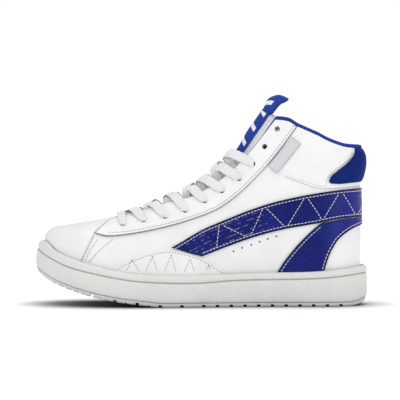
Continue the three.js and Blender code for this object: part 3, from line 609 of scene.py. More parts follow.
def math_node(tree, operation, a, b=None, c=None):
    node = tree.nodes.new("ShaderNodeMath")
    node.operation = operation
    for socket, value in zip(node.inputs, (a, b, c)):
        if value is None:
            continue
        if isinstance(value, (int, float)):
            socket.default_value = value
        else:
            tree.links.new(value, socket)
    return node.outputs[0]


def noise(tree, vector, scale, detail=3.0, roughness=0.55):
    node = tree.nodes.new("ShaderNodeTexNoise")
    node.inputs["Detail"].default_value = detail
    node.inputs["Roughness"].default_value = roughness
    tree.links.new(vector, node.inputs["Vector"])
    if isinstance(scale, (int, float)):
        node.inputs["Scale"].default_value = scale
    else:
        tree.links.new(scale, node.inputs["Scale"])
    return node.outputs["Fac"]


def remap(tree, value, low, high, to_low=0.0, to_high=1.0):
    node = tree.nodes.new("ShaderNodeMapRange")
    node.interpolation_type = "SMOOTHSTEP"
    tree.links.new(value, node.inputs["Value"])
    limits = {"From Min": low, "From Max": high, "To Min": to_low, "To Max": to_high}
    for socket, number in limits.items():
        if isinstance(number, (int, float)):
            node.inputs[socket].default_value = number
        else:
            tree.links.new(number, node.inputs[socket])
    return node.outputs["Result"]


def colours(tree, factor, a, b):
    """a where factor is 0 and b where it is 1; each is a colour or a socket."""
    node = tree.nodes.new("ShaderNodeMix")
    node.data_type = "RGBA"
    tree.links.new(factor, node.inputs["Factor"])
    for socket, value in ((node.inputs["A"], a), (node.inputs["B"], b)):
        if isinstance(value, tuple):
            socket.default_value = (*value, 1)
        else:
            tree.links.new(value, socket)
    return node.outputs["Result"]


def grain_group():
    """Fine leather grain: pebbles from a cell pattern, broken up by noise."""
    group, into, out = new_group(
        "leather_grain",
        [("Vector", "NodeSocketVector", None), ("Pebbles per metre", "NodeSocketFloat", 900.0)],
        [("Height", "NodeSocketFloat"), ("Mottle", "NodeSocketFloat")],
    )
    cells = group.nodes.new("ShaderNodeTexVoronoi")
    cells.feature = "DISTANCE_TO_EDGE"
    group.links.new(into.outputs["Vector"], cells.inputs["Vector"])
    group.links.new(into.outputs["Pebbles per metre"], cells.inputs["Scale"])
    pebbles = remap(group, cells.outputs["Distance"], 0.0, 0.25)
    fine = noise(group, into.outputs["Vector"], 2500.0, 2.0)
    height = math_node(group, "MULTIPLY_ADD", pebbles, 0.6, fine)
    group.links.new(height, out.inputs["Height"])
    broad = noise(group, into.outputs["Vector"], 28.0, 4.0)
    group.links.new(remap(group, broad, 0.35, 0.7), out.inputs["Mottle"])
    return group


def weave_group():
    """Plain weave on a map in metres: threads pass over and under each other."""
    group, into, out = new_group(
        "plain_weave",
        [
            ("Vector", "NodeSocketVector", None),
            ("Threads along", "NodeSocketFloat", 1500.0),
            ("Threads across", "NodeSocketFloat", 1500.0),
        ],
        [("Height", "NodeSocketFloat"), ("Shade", "NodeSocketFloat")],
    )
    parts = group.nodes.new("ShaderNodeSeparateXYZ")
    group.links.new(into.outputs["Vector"], parts.inputs[0])

    def wave(axis, count, phase):
        turns = math_node(group, "MULTIPLY", parts.outputs[axis], into.outputs[count])
        angle = math_node(group, "MULTIPLY_ADD", turns, math.pi, phase)
        return math_node(group, "SINE", angle)

    warp, weft = wave("X", "Threads along", 0.0), wave("Y", "Threads across", 0.0)
    over = math_node(group, "MULTIPLY", warp, weft)
    tops = [math_node(group, "ABSOLUTE", wave_height) for wave_height in (warp, weft)]
    ridges = math_node(group, "MAXIMUM", *tops)
    height = math_node(group, "MULTIPLY_ADD", over, 0.35, ridges)
    group.links.new(height, out.inputs["Height"])
    group.links.new(remap(group, height, 0.5, 1.3), out.inputs["Shade"])
    return group


def soil_group():
    """Light soiling: a mask that is stronger low down and in patches."""
    group, into, out = new_group(
        "soiling",
        [
            ("Vector", "NodeSocketVector", None),
            ("Lowest", "NodeSocketFloat", 0.0),
            ("Highest", "NodeSocketFloat", 0.06),
        ],
        [("Mask", "NodeSocketFloat")],
    )
    parts = group.nodes.new("ShaderNodeSeparateXYZ")
    group.links.new(into.outputs["Vector"], parts.inputs[0])
    low = remap(group, parts.outputs["Z"], into.outputs["Lowest"], into.outputs["Highest"], 1.0, 0.0)
    patches = remap(group, noise(group, into.outputs["Vector"], 45.0, 5.0), 0.4, 0.75)
    group.links.new(math_node(group, "MULTIPLY", low, patches), out.inputs["Mask"])
    return group


make_camera()
make_stage()
GRAIN, WEAVE, SOIL = grain_group(), weave_group(), soil_group()


class Finish:
    """A material being made: its tree, its shader and short ways to feed it."""

    def __init__(self, name, roughness, **constants):
        self.material = bpy.data.materials.new(name)
        self.material.use_nodes = True
        self.tree = self.material.node_tree
        self.shader = self.tree.nodes["Principled BSDF"]
        self.shader.inputs["Roughness"].default_value = roughness
        for socket, value in constants.items():
            self.shader.inputs[socket.replace("_", " ")].default_value = value
        self.coords = self.tree.nodes.new("ShaderNodeTexCoord")

    def place(self, group, vector, **values):
        node = self.tree.nodes.new("ShaderNodeGroup")
        node.node_tree = group
        self.tree.links.new(vector, node.inputs["Vector"])
        for socket, value in values.items():
            node.inputs[socket.replace("_", " ")].default_value = value
        return node

    def mark(self, name):
        node = self.tree.nodes.new("ShaderNodeAttribute")
        node.attribute_name = name
        return node.outputs["Fac"]

    def feed(self, socket, value):
        self.tree.links.new(value, self.shader.inputs[socket])

    def bump(self, height, depth, strength=1.0, after=None):
        node = self.tree.nodes.new("ShaderNodeBump")
        node.inputs["Strength"].default_value = strength
        node.inputs["Distance"].default_value = depth
        self.tree.links.new(height, node.inputs["Height"])
        if after is not None:
            self.tree.links.new(after, node.inputs["Normal"])
        return node.outputs["Normal"]


def leather(name, light, shade, pebbles, depth, roughness, edge_shade=0.0, soiled=(0.62, 0.60, 0.56)):
    """Coated leather with fine grain, faint mottling and a trace of soiling near the sole; if asked, its rim
    is darkened as painted shade along with a darker cut edge.
    """
    f = Finish(name, roughness, Coat_Weight=0.08, Coat_Roughness=0.3)
    spot = f.coords.outputs["Object"]
    grain = f.place(GRAIN, spot, Pebbles_per_metre=pebbles)
    soil = f.place(SOIL, spot, Lowest=0.026, Highest=0.052)
    base = colours(f.tree, grain.outputs["Mottle"], light, shade)
    dirty = math_node(f.tree, "MULTIPLY", soil.outputs["Mask"], 0.22)
    base = colours(f.tree, dirty, base, soiled)
    # painted shade along the rim, together with a darker cut edge
    if edge_shade:
        rim = remap(f.tree, f.mark("edge"), 0.2, 0.75, edge_shade, 0.0)
        base = colours(f.tree, rim, base, (0.10, 0.10, 0.11))
    f.feed("Base Color", base)
    f.feed("Roughness", remap(f.tree, grain.outputs["Mottle"], 0.0, 1.0, roughness - 0.05, roughness + 0.07))
    f.feed("Normal", f.bump(grain.outputs["Height"], depth))
    return f.material


SCALE_ROW = 4.4


def embossed_leather():
    """Glossy blue leather with scales: painted shade in the grooves between them, a painted violet sheen
    towards the heel, dark painted edge, worn lines towards the front.
    """
    f = Finish(
        "embossed_blue_leather", 0.26, Coat_Weight=0.03, Coat_Roughness=0.12, Specular_IOR_Level=0.12,
    )
    spot = f.coords.outputs["Object"]
    grain = f.place(GRAIN, spot, Pebbles_per_metre=1400.0)
    parts = f.tree.nodes.new("ShaderNodeSeparateXYZ")
    f.tree.links.new(spot, parts.inputs[0])
    base = colours(f.tree, grain.outputs["Mottle"], (0.003, 0.010, 0.14), (0.006, 0.018, 0.23))
    # painted highlight: a violet sheen mixed into the colour towards the heel
    towards_heel = remap(f.tree, parts.outputs["X"], 0.105, 0.14)
    violet_sheen = math_node(f.tree, "MULTIPLY", towards_heel, 0.7)
    base = colours(f.tree, violet_sheen, base, (0.034, 0.032, 0.27))
    # painted shade: the grooves between the scales are darkened in the colour
    groove = f.mark("scales")
    groove_shade = math_node(f.tree, "MULTIPLY", groove, 0.75)
    base = colours(f.tree, groove_shade, base, (0.004, 0.006, 0.05))
    row = math_node(f.tree, "PINGPONG", math_node(f.tree, "DIVIDE", f.mark("across"), SCALE_ROW), 0.5)
    line = remap(f.tree, row, 0.0, 0.11, 1.0, 0.0)
    worn = remap(f.tree, noise(f.tree, spot, 260.0, 3.0), 0.46, 0.6)
    front = remap(f.tree, parts.outputs["X"], 0.035, 0.075, 1.0, 0.0)
    above_rim = remap(f.tree, parts.outputs["Z"], 0.03, 0.05)
    rubbed = math_node(f.tree, "MULTIPLY", math_node(f.tree, "MULTIPLY", worn, front), line)
    rubbed = math_node(f.tree, "MULTIPLY", math_node(f.tree, "MULTIPLY", rubbed, above_rim), 0.8)
    base = colours(f.tree, rubbed, base, (0.50, 0.38, 0.46))
    painted = remap(f.tree, f.mark("edge"), 0.8, 1.2, 1.0, 0.0)
    f.feed("Base Color", colours(f.tree, painted, base, (0.004, 0.005, 0.03)))
    f.feed("Roughness", remap(f.tree, groove, 0.0, 1.0, 0.2, 0.42))
    f.feed("Normal", f.bump(grain.outputs["Height"], 0.00004))
    return f.material


def cloth(name, light, shade, threads, depth=0.00012, roughness=0.85, edge_shade=0.0):
    """Woven cloth on the piece's own map; if asked, its rim is darkened as painted shade."""
    f = Finish(name, roughness, Specular_IOR_Level=0.15)
    weave = f.place(WEAVE, f.coords.outputs["UV"], Threads_along=threads, Threads_across=threads)
    tint = noise(f.tree, f.coords.outputs["Object"], 60.0, 4.0)
    base = colours(f.tree, weave.outputs["Shade"], shade, light)
    faded = math_node(f.tree, "MULTIPLY", remap(f.tree, tint, 0.4, 0.75), 0.25)
    base = colours(f.tree, faded, base, shade)
    # painted shade darkening the rim
    if edge_shade:
        rim = remap(f.tree, f.mark("edge"), 0.1, 0.5, edge_shade, 0.0)
        base = colours(f.tree, rim, base, (0.22, 0.22, 0.23))
    f.feed("Base Color", base)
    f.feed("Roughness", remap(f.tree, tint, 0.3, 0.7, roughness - 0.08, roughness + 0.08))
    f.feed("Normal", f.bump(weave.outputs["Height"], depth))
    return f.material


def sole_rubber(name, light, shade, stipple):
    """Moulded rubber, stippled on the side wall, with a toned line in its groove."""
    f = Finish(name, 0.55)
    spot = f.coords.outputs["Object"]
    rough = noise(f.tree, spot, 700.0, 3.0)
    broad = remap(f.tree, noise(f.tree, spot, 35.0, 4.0), 0.35, 0.7)
    base = colours(f.tree, broad, light, shade)
    soil = f.place(SOIL, spot, Lowest=-0.005, Highest=0.03)
    dirty = math_node(f.tree, "MULTIPLY", soil.outputs["Mask"], 0.25)
    base = colours(f.tree, dirty, base, (0.50, 0.48, 0.44))
    toned = math_node(f.tree, "MULTIPLY", remap(f.tree, f.mark("groove"), 0.3, 0.9), 0.85)
    f.feed("Base Color", colours(f.tree, toned, base, (0.36, 0.32, 0.26)))
    f.feed("Roughness", remap(f.tree, rough, 0.3, 0.7, 0.48, 0.64))
    f.feed("Normal", f.bump(rough, stipple))
    return f.material


def plain_stuff(name, light, shade, scale, depth, roughness):
    """Foam, board and thread: one noise for tone and surface."""
    f = Finish(name, roughness)
    spot = f.coords.outputs["Object"]
    grains = noise(f.tree, spot, scale, 4.0)
    f.feed("Base Color", colours(f.tree, remap(f.tree, grains, 0.35, 0.65), light, shade))
    f.feed("Roughness", remap(f.tree, grains, 0.3, 0.7, roughness - 0.05, roughness + 0.05))
    f.feed("Normal", f.bump(grains, depth))
    return f.material


BAR_PITCH = 0.0155


def webbing():
    """Blue webbing with a generic pattern of short white bars."""
    f = Finish("blue_webbing", 0.7, Specular_IOR_Level=0.15)
    chart = f.coords.outputs["UV"]
    weave = f.place(WEAVE, chart, Threads_along=1100.0, Threads_across=1600.0)
    parts = f.tree.nodes.new("ShaderNodeSeparateXYZ")
    f.tree.links.new(chart, parts.inputs[0])
    base = colours(f.tree, weave.outputs["Shade"], (0.012, 0.032, 0.23), (0.03, 0.075, 0.42))
    slanted = math_node(f.tree, "MULTIPLY_ADD", parts.outputs["Y"], 0.45, parts.outputs["X"])
    turns = math_node(f.tree, "MULTIPLY", slanted, 2 * math.pi / BAR_PITCH)
    bars = remap(f.tree, math_node(f.tree, "SINE", turns), 0.62, 0.72)
    across = remap(f.tree, f.mark("edge"), 2.4, 2.9)
    printed = math_node(f.tree, "MULTIPLY", bars, across)
    f.feed("Base Color", colours(f.tree, printed, base, (0.78, 0.80, 0.86)))
    f.feed("Roughness", remap(f.tree, weave.outputs["Shade"], 0.0, 1.0, 0.8, 0.62))
    f.feed("Normal", f.bump(weave.outputs["Height"], 0.00012))
    return f.material


def clear_tip():
    f = Finish("clear_plastic_tip", 0.18, Coat_Weight=0.4)
    streaks = noise(f.tree, f.coords.outputs["Object"], 500.0, 2.0)
    f.feed("Base Color", colours(f.tree, streaks, (0.75, 0.76, 0.78), (0.86, 0.87, 0.88)))
    f.feed("Roughness", remap(f.tree, streaks, 0.3, 0.7, 0.12, 0.26))
    return f.material


WHITES = (0.86, 0.86, 0.862), (0.82, 0.82, 0.825)
WHITE_LEATHER = leather("white_coated_leather", *WHITES, 900.0, 0.00006, 0.42)
# the eyestay's dark rim is painted shade along with a darker cut edge
EYESTAY_LEATHER = leather("white_leather_cut_edge_and_shade", *WHITES, 900.0, 0.00006, 0.42, edge_shade=0.8)
SMOOTH_LEATHER = leather("white_toe_leather", *WHITES, 1200.0, 0.00005, 0.38)
BLUE_LEATHER = embossed_leather()
SIDEWALL = sole_rubber("white_sole_rubber", (0.76, 0.76, 0.755), (0.73, 0.73, 0.72), 0.0006)
TREAD_RUBBER = sole_rubber("white_tread_rubber", (0.68, 0.68, 0.68), (0.64, 0.64, 0.635), 0.0001)
WHITE_CLOTH = cloth("white_lining_cloth", (0.78, 0.78, 0.79), (0.66, 0.66, 0.67), 1300.0)
BLUE_CLOTH = cloth("blue_heel_cloth", (0.004, 0.024, 0.23), (0.002, 0.012, 0.12), 1500.0, 0.00016)
LINING_CLOTH = cloth("blue_lining_cloth", (0.028, 0.065, 0.38), (0.012, 0.03, 0.22), 1300.0)
LACE_CLOTH = cloth("white_lace_cloth", (0.90, 0.90, 0.90), (0.78, 0.78, 0.78), 1250.0, 0.0002)
# the label's darkened rim is painted shade
LABEL_CLOTH = cloth(
    "grey_label_cloth", (0.70, 0.71, 0.73), (0.60, 0.61, 0.63), 2600.0, 0.00006, 0.7, edge_shade=0.7,
)
WEBBING = webbing()
FOAM = plain_stuff("cream_foam", (0.70, 0.66, 0.55), (0.58, 0.54, 0.44), 900.0, 0.0002, 0.9)
MIDSOLE_FOAM = plain_stuff("white_midsole_foam", (0.74, 0.73, 0.70), (0.66, 0.65, 0.62), 500.0, 0.0002, 0.85)
FIBREBOARD = plain_stuff("tan_fibreboard", (0.56, 0.48, 0.34), (0.46, 0.38, 0.26), 350.0, 0.0001, 0.85)
WHITE_THREAD = plain_stuff("white_thread", (0.78, 0.78, 0.79), (0.70, 0.70, 0.71), 3000.0, 0.0001, 0.6)
CREAM_THREAD = plain_stuff("cream_thread", (0.86, 0.80, 0.76), (0.76, 0.70, 0.66), 3000.0, 0.0001, 0.6)
BLUE_THREAD = plain_stuff("blue_thread", (0.02, 0.05, 0.35), (0.01, 0.03, 0.22), 3000.0, 0.0001, 0.6)
PAINTED_HOLE_SHADOW = plain_stuff("needle_hole_shadow", (0.16, 0.16, 0.17), (0.10, 0.10, 0.11), 3000.0, 0.0001, 0.9)
CLEAR_TIP = clear_tip()


# ---- sole unit -----------------------------------------------------------------------------------
def cup_bottom(x):
    return sole_bottom(x) + TREAD + GAP


CUP_FLOOR = 3.4
STIFFENER = 1.4
FOOTBED = 4.0
FOOTBED_INSET = UPPER_INSET + LEATHER + STIFFENER + LINING + 3.6


def cup_floor(x):
    return cup_bottom(x) + CUP_FLOOR


def above(line, rise):
    return lambda x: line(x) + rise


def between(low, high, share):
    return lambda x: mix(low(x), high(x), share)


GROOVE_INSETS = (0.95, 1.1)


def make_cupsole():
    """The cup: bottom edge, side wall with its groove, rolled rim and the wall inside."""
    groove_side, groove_deep = GROOVE_INSETS
    wall_steps = [(0.0, between(cup_bottom, groove_line, s)) for s in (0.3, 0.45, 0.6, 0.75)]
    profile = [
        (1.5, cup_bottom),
        (0.8, above(cup_bottom, 0.35)),
        (0.3, above(cup_bottom, 1.0)),
        (0.05, above(cup_bottom, 2.0)),
        *wall_steps,
        (0.05, above(groove_line, -1.3)),
        (0.25, above(groove_line, -0.8)),
        (groove_side, above(groove_line, -0.35)),
        (groove_deep, groove_line),
        (groove_side, above(groove_line, 0.35)),
        (0.25, above(groove_line, 0.8)),
        (0.02, above(groove_line, 1.4)),
        (-0.05, between(groove_line, rim_top, 0.5)),
        (0.1, above(rim_top, -2.6)),
        (0.45, above(rim_top, -1.6)),
        (1.05, above(rim_top, -0.75)),
        (1.8, above(rim_top, -0.2)),
        (2.6, rim_top),
        (3.2, above(rim_top, -0.25)),
        (RIM_WALL, above(rim_top, -0.9)),
        (RIM_WALL, feather_line),
        (RIM_WALL, cup_floor),
    ]
    groove_rings = [k for k, (inset, _) in enumerate(profile) if inset in GROOVE_INSETS]
    piece = sole_solid("cupsole_shell", profile, groove_rings)
    smooth_shade(piece, 50)
    done(piece, "shell", "sole_rubber", SIDEWALL, "cupsole")


CUTTER_HEIGHT, CUTTER_LENGTH = 8.0, 240.0
GROOVES = [52, 72.5, 92, 112, 131, *[150 + 12 * k for k in range(11)]]
TOE_NICKS = [20, 27, 34, 41, 62, 82, 102]


def groove_cutter(x, width, depth):
    """A bar across the sole, pushed up into the tread from below and turned to its slope."""
    slope = (sole_bottom(x + 1) - sole_bottom(x - 1)) / 2
    deselect()
    bpy.ops.mesh.primitive_cube_add(
        size=1,
        location=to_frame(np.array([x, 0, float(sole_bottom(x)) + depth - CUTTER_HEIGHT / 2])),
        rotation=(0, -math.atan(float(slope)), 0),
        scale=(width * MM, CUTTER_LENGTH * MM, CUTTER_HEIGHT * MM),
    )
    cutter = bpy.context.object
    place_into_mesh(cutter)
    return cutter


def make_tread():
    profile = [
        (4.2, sole_bottom),
        (2.9, above(sole_bottom, 0.02)),
        (2.1, above(sole_bottom, 0.35)),
        (1.5, above(sole_bottom, 1.0)),
        (1.2, above(sole_bottom, 1.8)),
        (1.1, above(sole_bottom, TREAD)),
    ]
    piece = sole_solid("tread_plate", profile)
    cutters = [groove_cutter(x, 3.0, 2.2) for x in GROOVES]
    cutters += [groove_cutter(x, 1.6, 1.0) for x in TOE_NICKS]
    boolean_cut(piece, cutters)
    smooth_shade(piece, 40)
    done(piece, "shell", "sole_rubber", TREAD_RUBBER, "outsole_tread")


def make_insides():
    board_inset = RIM_WALL + GAP
    wedge_profile = [(board_inset, above(cup_floor, GAP)), (board_inset, midsole_top)]
    wedge = sole_solid("midsole_foam", wedge_profile)
    smooth_shade(wedge)
    done(wedge, "shell", "foam", MIDSOLE_FOAM, "midsole_wedge")
    top = above(feather_line, FOOTBED)
    footbed_profile = [
        (FOOTBED_INSET, feather_line),
        (FOOTBED_INSET, above(top, -0.8)),
        (FOOTBED_INSET + 0.3, above(top, -0.25)),
        (FOOTBED_INSET + 1, top),
    ]
    footbed = sole_solid("footbed", footbed_profile)
    smooth_shade(footbed, 50)
    done(footbed, "shell", "white_textile", WHITE_CLOTH, "sockliner")


make_cupsole()
make_tread()
make_insides()


# ---- vamp ----------------------------------------------------------------------------------------
FAN = 35.0
LINING_FACE = -3.3
VAMP_SEAM = [[40, 33], [43.5, 39.5], [48.5, 50], [54, 61.5], [62, 70.5]]


def seam_reach():
    seam = np.array(VAMP_SEAM)
    p = wall(seam[:, 0], seam[:, 1], LATERAL)[0]
    angle = np.arctan2(p[:, 2] - feather_line(p[:, 0]), np.abs(p[:, 1] - centre_line(p[:, 0])))
    return through([[0, 38], *zip(angle, seam[:, 0]), [math.pi / 2, 73.5]])


def vamp_surface(shortfall, fan_rows=46, rows=34, around=120):
    toe_tilt = math.atan2(feather_line(8.0) - feather_line(FAN), FAN - 8)
    angle = np.linspace(0, math.pi, around + 1)[None, :]
    reach = seam_reach()(np.minimum(angle, math.pi - angle)) - shortfall
    i = np.arange(fan_rows + rows + 1)[:, None]
    lean = np.maximum(0, 1 - i / fan_rows) * (math.pi / 2 - toe_tilt)
    x = mix(FAN, reach, np.maximum(0, (i - fan_rows) / rows))
    up = np.sin(angle) + np.zeros_like(x)
    direction = np.stack([-np.sin(lean) * up, -np.cos(angle) + np.zeros_like(x), np.cos(lean) * up], -1)
    origin = np.stack([x, centre_line(x), feather_line(FAN) + np.zeros_like(x)], -1)
    points, normals = cast(origin, direction)
    return points, normals, reach + shortfall - x


def dome(name, points, normals, outer, thickness):
    """A panel whose side columns run together in the toe's fan, merged there."""
    face = points + normals * np.broadcast_to(outer, points.shape[:2])[..., None]
    piece = sheet_of(name, face if facing_out(face, normals) else face[:, ::-1])
    activate(piece)
    bpy.ops.object.mode_set(mode="EDIT")
    bpy.ops.mesh.select_all(action="SELECT")
    bpy.ops.mesh.remove_doubles(threshold=FAN_MERGE)
    bpy.ops.object.mode_set(mode="OBJECT")
    apply_modifier(piece, "SOLIDIFY", thickness=thickness * MM, offset=-1)
    smooth_shade(piece)
    return piece


def make_vamp():
    points, normals, to_seam = vamp_surface(-1.3)
    tucked = -0.05 - 1.4 * (1 - smooth(-0.2, 0.5, to_seam))
    x, z = points[..., 0], points[..., 2]
    full = 2.0 * np.exp(-(((x - 9) / 13) ** 2)) * smooth(-2, 5, z - rim_top(x))
    piece = dome("toe_vamp", points, normals, tucked + full, LEATHER)
    done(piece, "shell", "white_leather", SMOOTH_LEATHER, "vamp")
    points, normals = vamp_surface(1.6, 24, 16, 60)[:2]
    lining = dome("toe_lining", points, normals, LINING_FACE, LINING)
    done(lining, "shell", "white_textile", WHITE_CLOTH, "vamp_lining")


make_vamp()


# ---- lines of the side pattern -------------------------------------------------------------------
THROAT = through([[70, 14], [120, 16.5], [191, 20], [215, 21]])
EYELETS = [
    [79.5, 70.5], [98, 74], [116.5, 77.5], [134, 83], [151.5, 91.5],
    [166.5, 100.5], [181.5, 111.5], [193.5, 124.5], [204, 139.5], [215, 155],
]
EYELET = 4.8
EYESTAY_LOWER = [
    [55, 63.5], [65, 61.3], [80, 62.2], [100, 65.5], [120, 70], [140, 76], [155, 81.5],
    [165, 86.5], [175, 93.5], [185, 102], [195, 112], [204, 121.5], [220, 141.5], [231, 156.5],
]
SPLIT = [
    [57, 64.2], [70, 65.5], [80, 66.6], [100, 70], [120, 74.3], [140, 80.5], [155, 86],
    [165, 91.4], [175, 98.6], [185, 107], [195, 117], [204, 126.3], [216, 142], [226, 158.5],
]
topline = through(
    [[200, 163.2], [216, 163.2], [225, 161.7], [232, 157.4], [240, 153.8],
     [250, 149.4], [260, 145.3], [270, 141.8], [280, 139], [300, 138.5]]
)
STRIPE_UPPER = [
    [122, 51.6], [130, 56], [140, 62], [150, 67.5], [170, 76], [190, 84],
    [210, 90.5], [230, 95.3], [250, 99], [270, 101.5], [280, 102.6], [290, 103.6],
]
STRIPE_LOWER = [
    [148.5, 44], [160, 48.5], [180, 56], [200, 62.5], [220, 67.5],
    [240, 71], [260, 74.5], [275, 77], [290, 78.5],
]
LEG_FRONT = [
    [213, 28], [220, 39], [230, 51.5], [240, 62], [249, 70],
    [253, 72.6], [262, 74.2], [275, 76.4], [290, 77.9],
]
LEG_REAR = [[255.5, 28], [258, 36], [262, 46], [270, 58.5], [280, 67], [285, 69.8], [290, 72.5]]
PATCH_ARCH = [
    [73.5, 33.5], [82, 38.5], [98, 45], [115, 48.8], [123, 48.8],
    [139, 45.2], [148, 42], [162, 33.5], [166, 31.5],
]
PANEL_LOWER = [[207.5, 121], [219, 116.5], [230, 112.5], [240, 109], [250, 105.8], [259.5, 104.6]]
HEEL_PANEL_LOWER = [[263, 107.5], [272, 107], [282, 108], [290, 109.3]]
LINING_EDGE = [
    [60, 58.5], [80, 61.5], [100, 65], [120, 69.5], [140, 75.5], [160, 83],
    [175, 92.5], [190, 105], [205, 111.5], [220, 108], [240, 100], [250, 97.5],
]
COLLAR_LOWER = [[226, 118], [235, 113], [245, 108], [250, 106]]


def throat_height(x):
    flat = (THROAT(x) / half(x, LATERAL, UPPER_INSET)) ** side_power(x)
    return BASE + (ridge(x) - BASE) * (1 - flat) ** (1 / crown_power(x))


def top_edge(x):
    return np.minimum(throat_height(x), topline(x))


def hem(x):
    return rim_top(x) - 5


BACK_GAP = 0.02


def stop_at_back(line):
    """The line without its last hair's breadth, so that the two sides don't touch at the heel."""
    line = line.copy()
    line[:, 0] = np.minimum(line[:, 0], BACK - BACK_GAP)
    return line


# ---- quarters and eyestays -----------------------------------------------------------------------
PERFORATIONS = [[176, 48.5], [183.5, 51.5], [191.5, 54], [199, 56.7], [206, 59.2], [213.5, 61.5]]


def make_upper(name, side):
    steps = 210
    lower = line_at(columns(39.5, (BACK - 39.5) / steps), feather_line)[: steps + 1]
    split = pattern_line([[54.5, 62.5], *SPLIT], 160)
    rear = line_at(columns(226), above(top_edge, 0))
    upper = np.vstack([split, rear[1:]])
    share = np.linspace(0, 1, len(lower))
    knots = np.concatenate([np.linspace(0, 0.82, len(split)), np.linspace(0.82, 1, len(rear))[1:]])
    upper = np.stack([np.interp(share, knots, upper[:, k]) for k in (0, 1)], -1)
    grid = band(stop_at_back(lower), stop_at_back(upper), 64, side)
    quarter = panel(f"quarter_leather_{name}", grid, outer=0, thickness=LEATHER)
    boolean_cut(quarter, [punch(at, side, 1.7, 8.0) for at in PERFORATIONS])
    smooth_shade(quarter)
    done(quarter, "shell", "white_leather", WHITE_LEATHER, f"quarter_{name}")

    holes = [punch(at, side, EYELET) for at in EYELETS]
    facing_upper = line_at(evenly(70, 225.2, 150), above(top_edge, -0.2))
    facing_lower = pattern_line([[x - 0.3, z + 0.7] for x, z in SPLIT], 150)
    grid = band(facing_lower, facing_upper, 14, side)
    facing = panel(f"eyelet_backing_{name}", grid, outer=0, thickness=2.4, rounding=0.3)
    boolean_cut(facing, holes)
    smooth_shade(facing)
    done(facing, "shell", "white_textile", WHITE_CLOTH, f"eyelet_facing_{name}")

    holes = [punch(at, side, EYELET) for at in EYELETS]
    stay_upper = line_at(evenly(70, 230.5, 220), top_edge)
    grid = band(pattern_line(EYESTAY_LOWER, 220), stay_upper, 30, side)
    stay = panel(
        f"eyestay_leather_{name}", grid, outer=1.7, thickness=1.6, rounding=0.45, puff=0.25, sewn=2.2,
    )
    boolean_cut(stay, holes)
    smooth_shade(stay)
    done(stay, "shell", "white_leather", EYESTAY_LEATHER, f"eyestay_{name}")


for side_name, side_sign in SIDES:
    make_upper(side_name, side_sign)


# ---- embossed scales -----------------------------------------------------------------------------
def chance(i, j, salt):
    """A repeatable number from 0 to 1 for each cell."""
    v = np.sin(i * 127.1 + j * 311.7 + salt * 74.7) * 43758.5453
    return v - np.floor(v)


def scales(s, t, long, wide, roundness):
    """Height of embossed scales, 0 in the lines between them and 1 on top."""
    row = np.floor(t / wide)
    nearest = np.full(s.shape, 9.0)
    second = np.full(s.shape, 9.0)
    for dr in (-1, 0, 1):
        r = row + dr
        shift = 0.5 * (r % 2) + 0.3 * chance(r, r, 5)
        column = np.floor(s / long - shift)
        for dc in (-1, 0, 1):
            c = column + dc
            at_s = (c + shift + 0.5 + 0.36 * (chance(c, r, 1) - 0.5)) * long
            at_t = (r + 0.5 + 0.06 * (chance(c, r, 2) - 0.5)) * wide
            off_s, off_t = np.abs((s - at_s) / long), np.abs((t - at_t) / wide)
            apart = (off_s**roundness + off_t**roundness) ** (1 / roundness)
            second = np.minimum(second, np.maximum(apart, nearest))
            nearest = np.minimum(nearest, apart)
    return smooth(0.02, 0.2, second - nearest)


def grid_measure(points):
    """Distances along and across a grid, each in millimetres."""
    along = run_along(points)
    across = run_along(points.transpose(1, 0, 2)).T
    middle = along[:, along.shape[1] // 2][:, None] + np.zeros(points.shape[1])
    return middle, across


def embossed(name, lower, upper, rows, side, long, wide, roundness, node, depth=0.42):
    surface = band(stop_at_back(lower), stop_at_back(upper), rows, side)
    s, t = grid_measure(surface[0])
    worn_smooth = 0.6 * smooth(225, 268, surface[0][..., 0])
    kept = smooth(1.0, 2.8, border_distance(surface[0])) * (1 - worn_smooth)
    cut = (1 - scales(s, t, long, wide, roundness)) * kept
    piece = panel(
        name, surface, outer=1.6, thickness=1.5, rounding=0.3, puff=0.15, sewn=2.3,
        relief=-depth * cut, marks={"scales": cut, "across": t},
    )
    return done(piece, "shell", "gloss_blue", BLUE_LEATHER, node)


for side_name, side_sign in SIDES:
    embossed(
        f"stripe_leather_{side_name}", pattern_line(STRIPE_LOWER, 300), pattern_line(STRIPE_UPPER, 300),
        rows=70, side=side_sign, long=8.5, wide=SCALE_ROW, roundness=4.0,
        node=f"side_stripe_{side_name}",
    )
    embossed(
        f"heel_leg_leather_{side_name}", pattern_line(LEG_REAR, 150), pattern_line(LEG_FRONT, 150),
        rows=56, side=side_sign, long=4.8, wide=4.2, roundness=2.4,
        node=f"leg_overlay_{side_name}", depth=0.25,
    )
    patch = panel(
        f"forefoot_patch_leather_{side_name}",
        band(line_at(evenly(73.5, 166, 110), hem), pattern_line(PATCH_ARCH, 110), 20, side_sign),
        outer=1.5, thickness=1.4, rounding=0.45, puff=0.25,
    )
    done(patch, "shell", "white_leather", WHITE_LEATHER, f"forefoot_patch_{side_name}")


# ---- collar --------------------------------------------------------------------------------------
HEEL_EDGE = through(
    [[0, 1.2], [0.04, -1.8], [0.1, -3.2], [0.18, -3.9], [0.31, -1.9],
     [0.5, 1.9], [0.69, 3.2], [0.84, 3.0], [1, 0]]
)
PAD_GAP = 0.9
PAD_COVER = {"outer": 1.2, "thickness": 1.1, "rounding": 0.4}
END_COLUMNS = 5


def pad_rear(share):
    """The side pads' rear edge, which follows the heel pad's at a gap."""
    return HEEL_EDGE(share) - PAD_GAP


def level(height):
    return lambda x: height + 0 * x


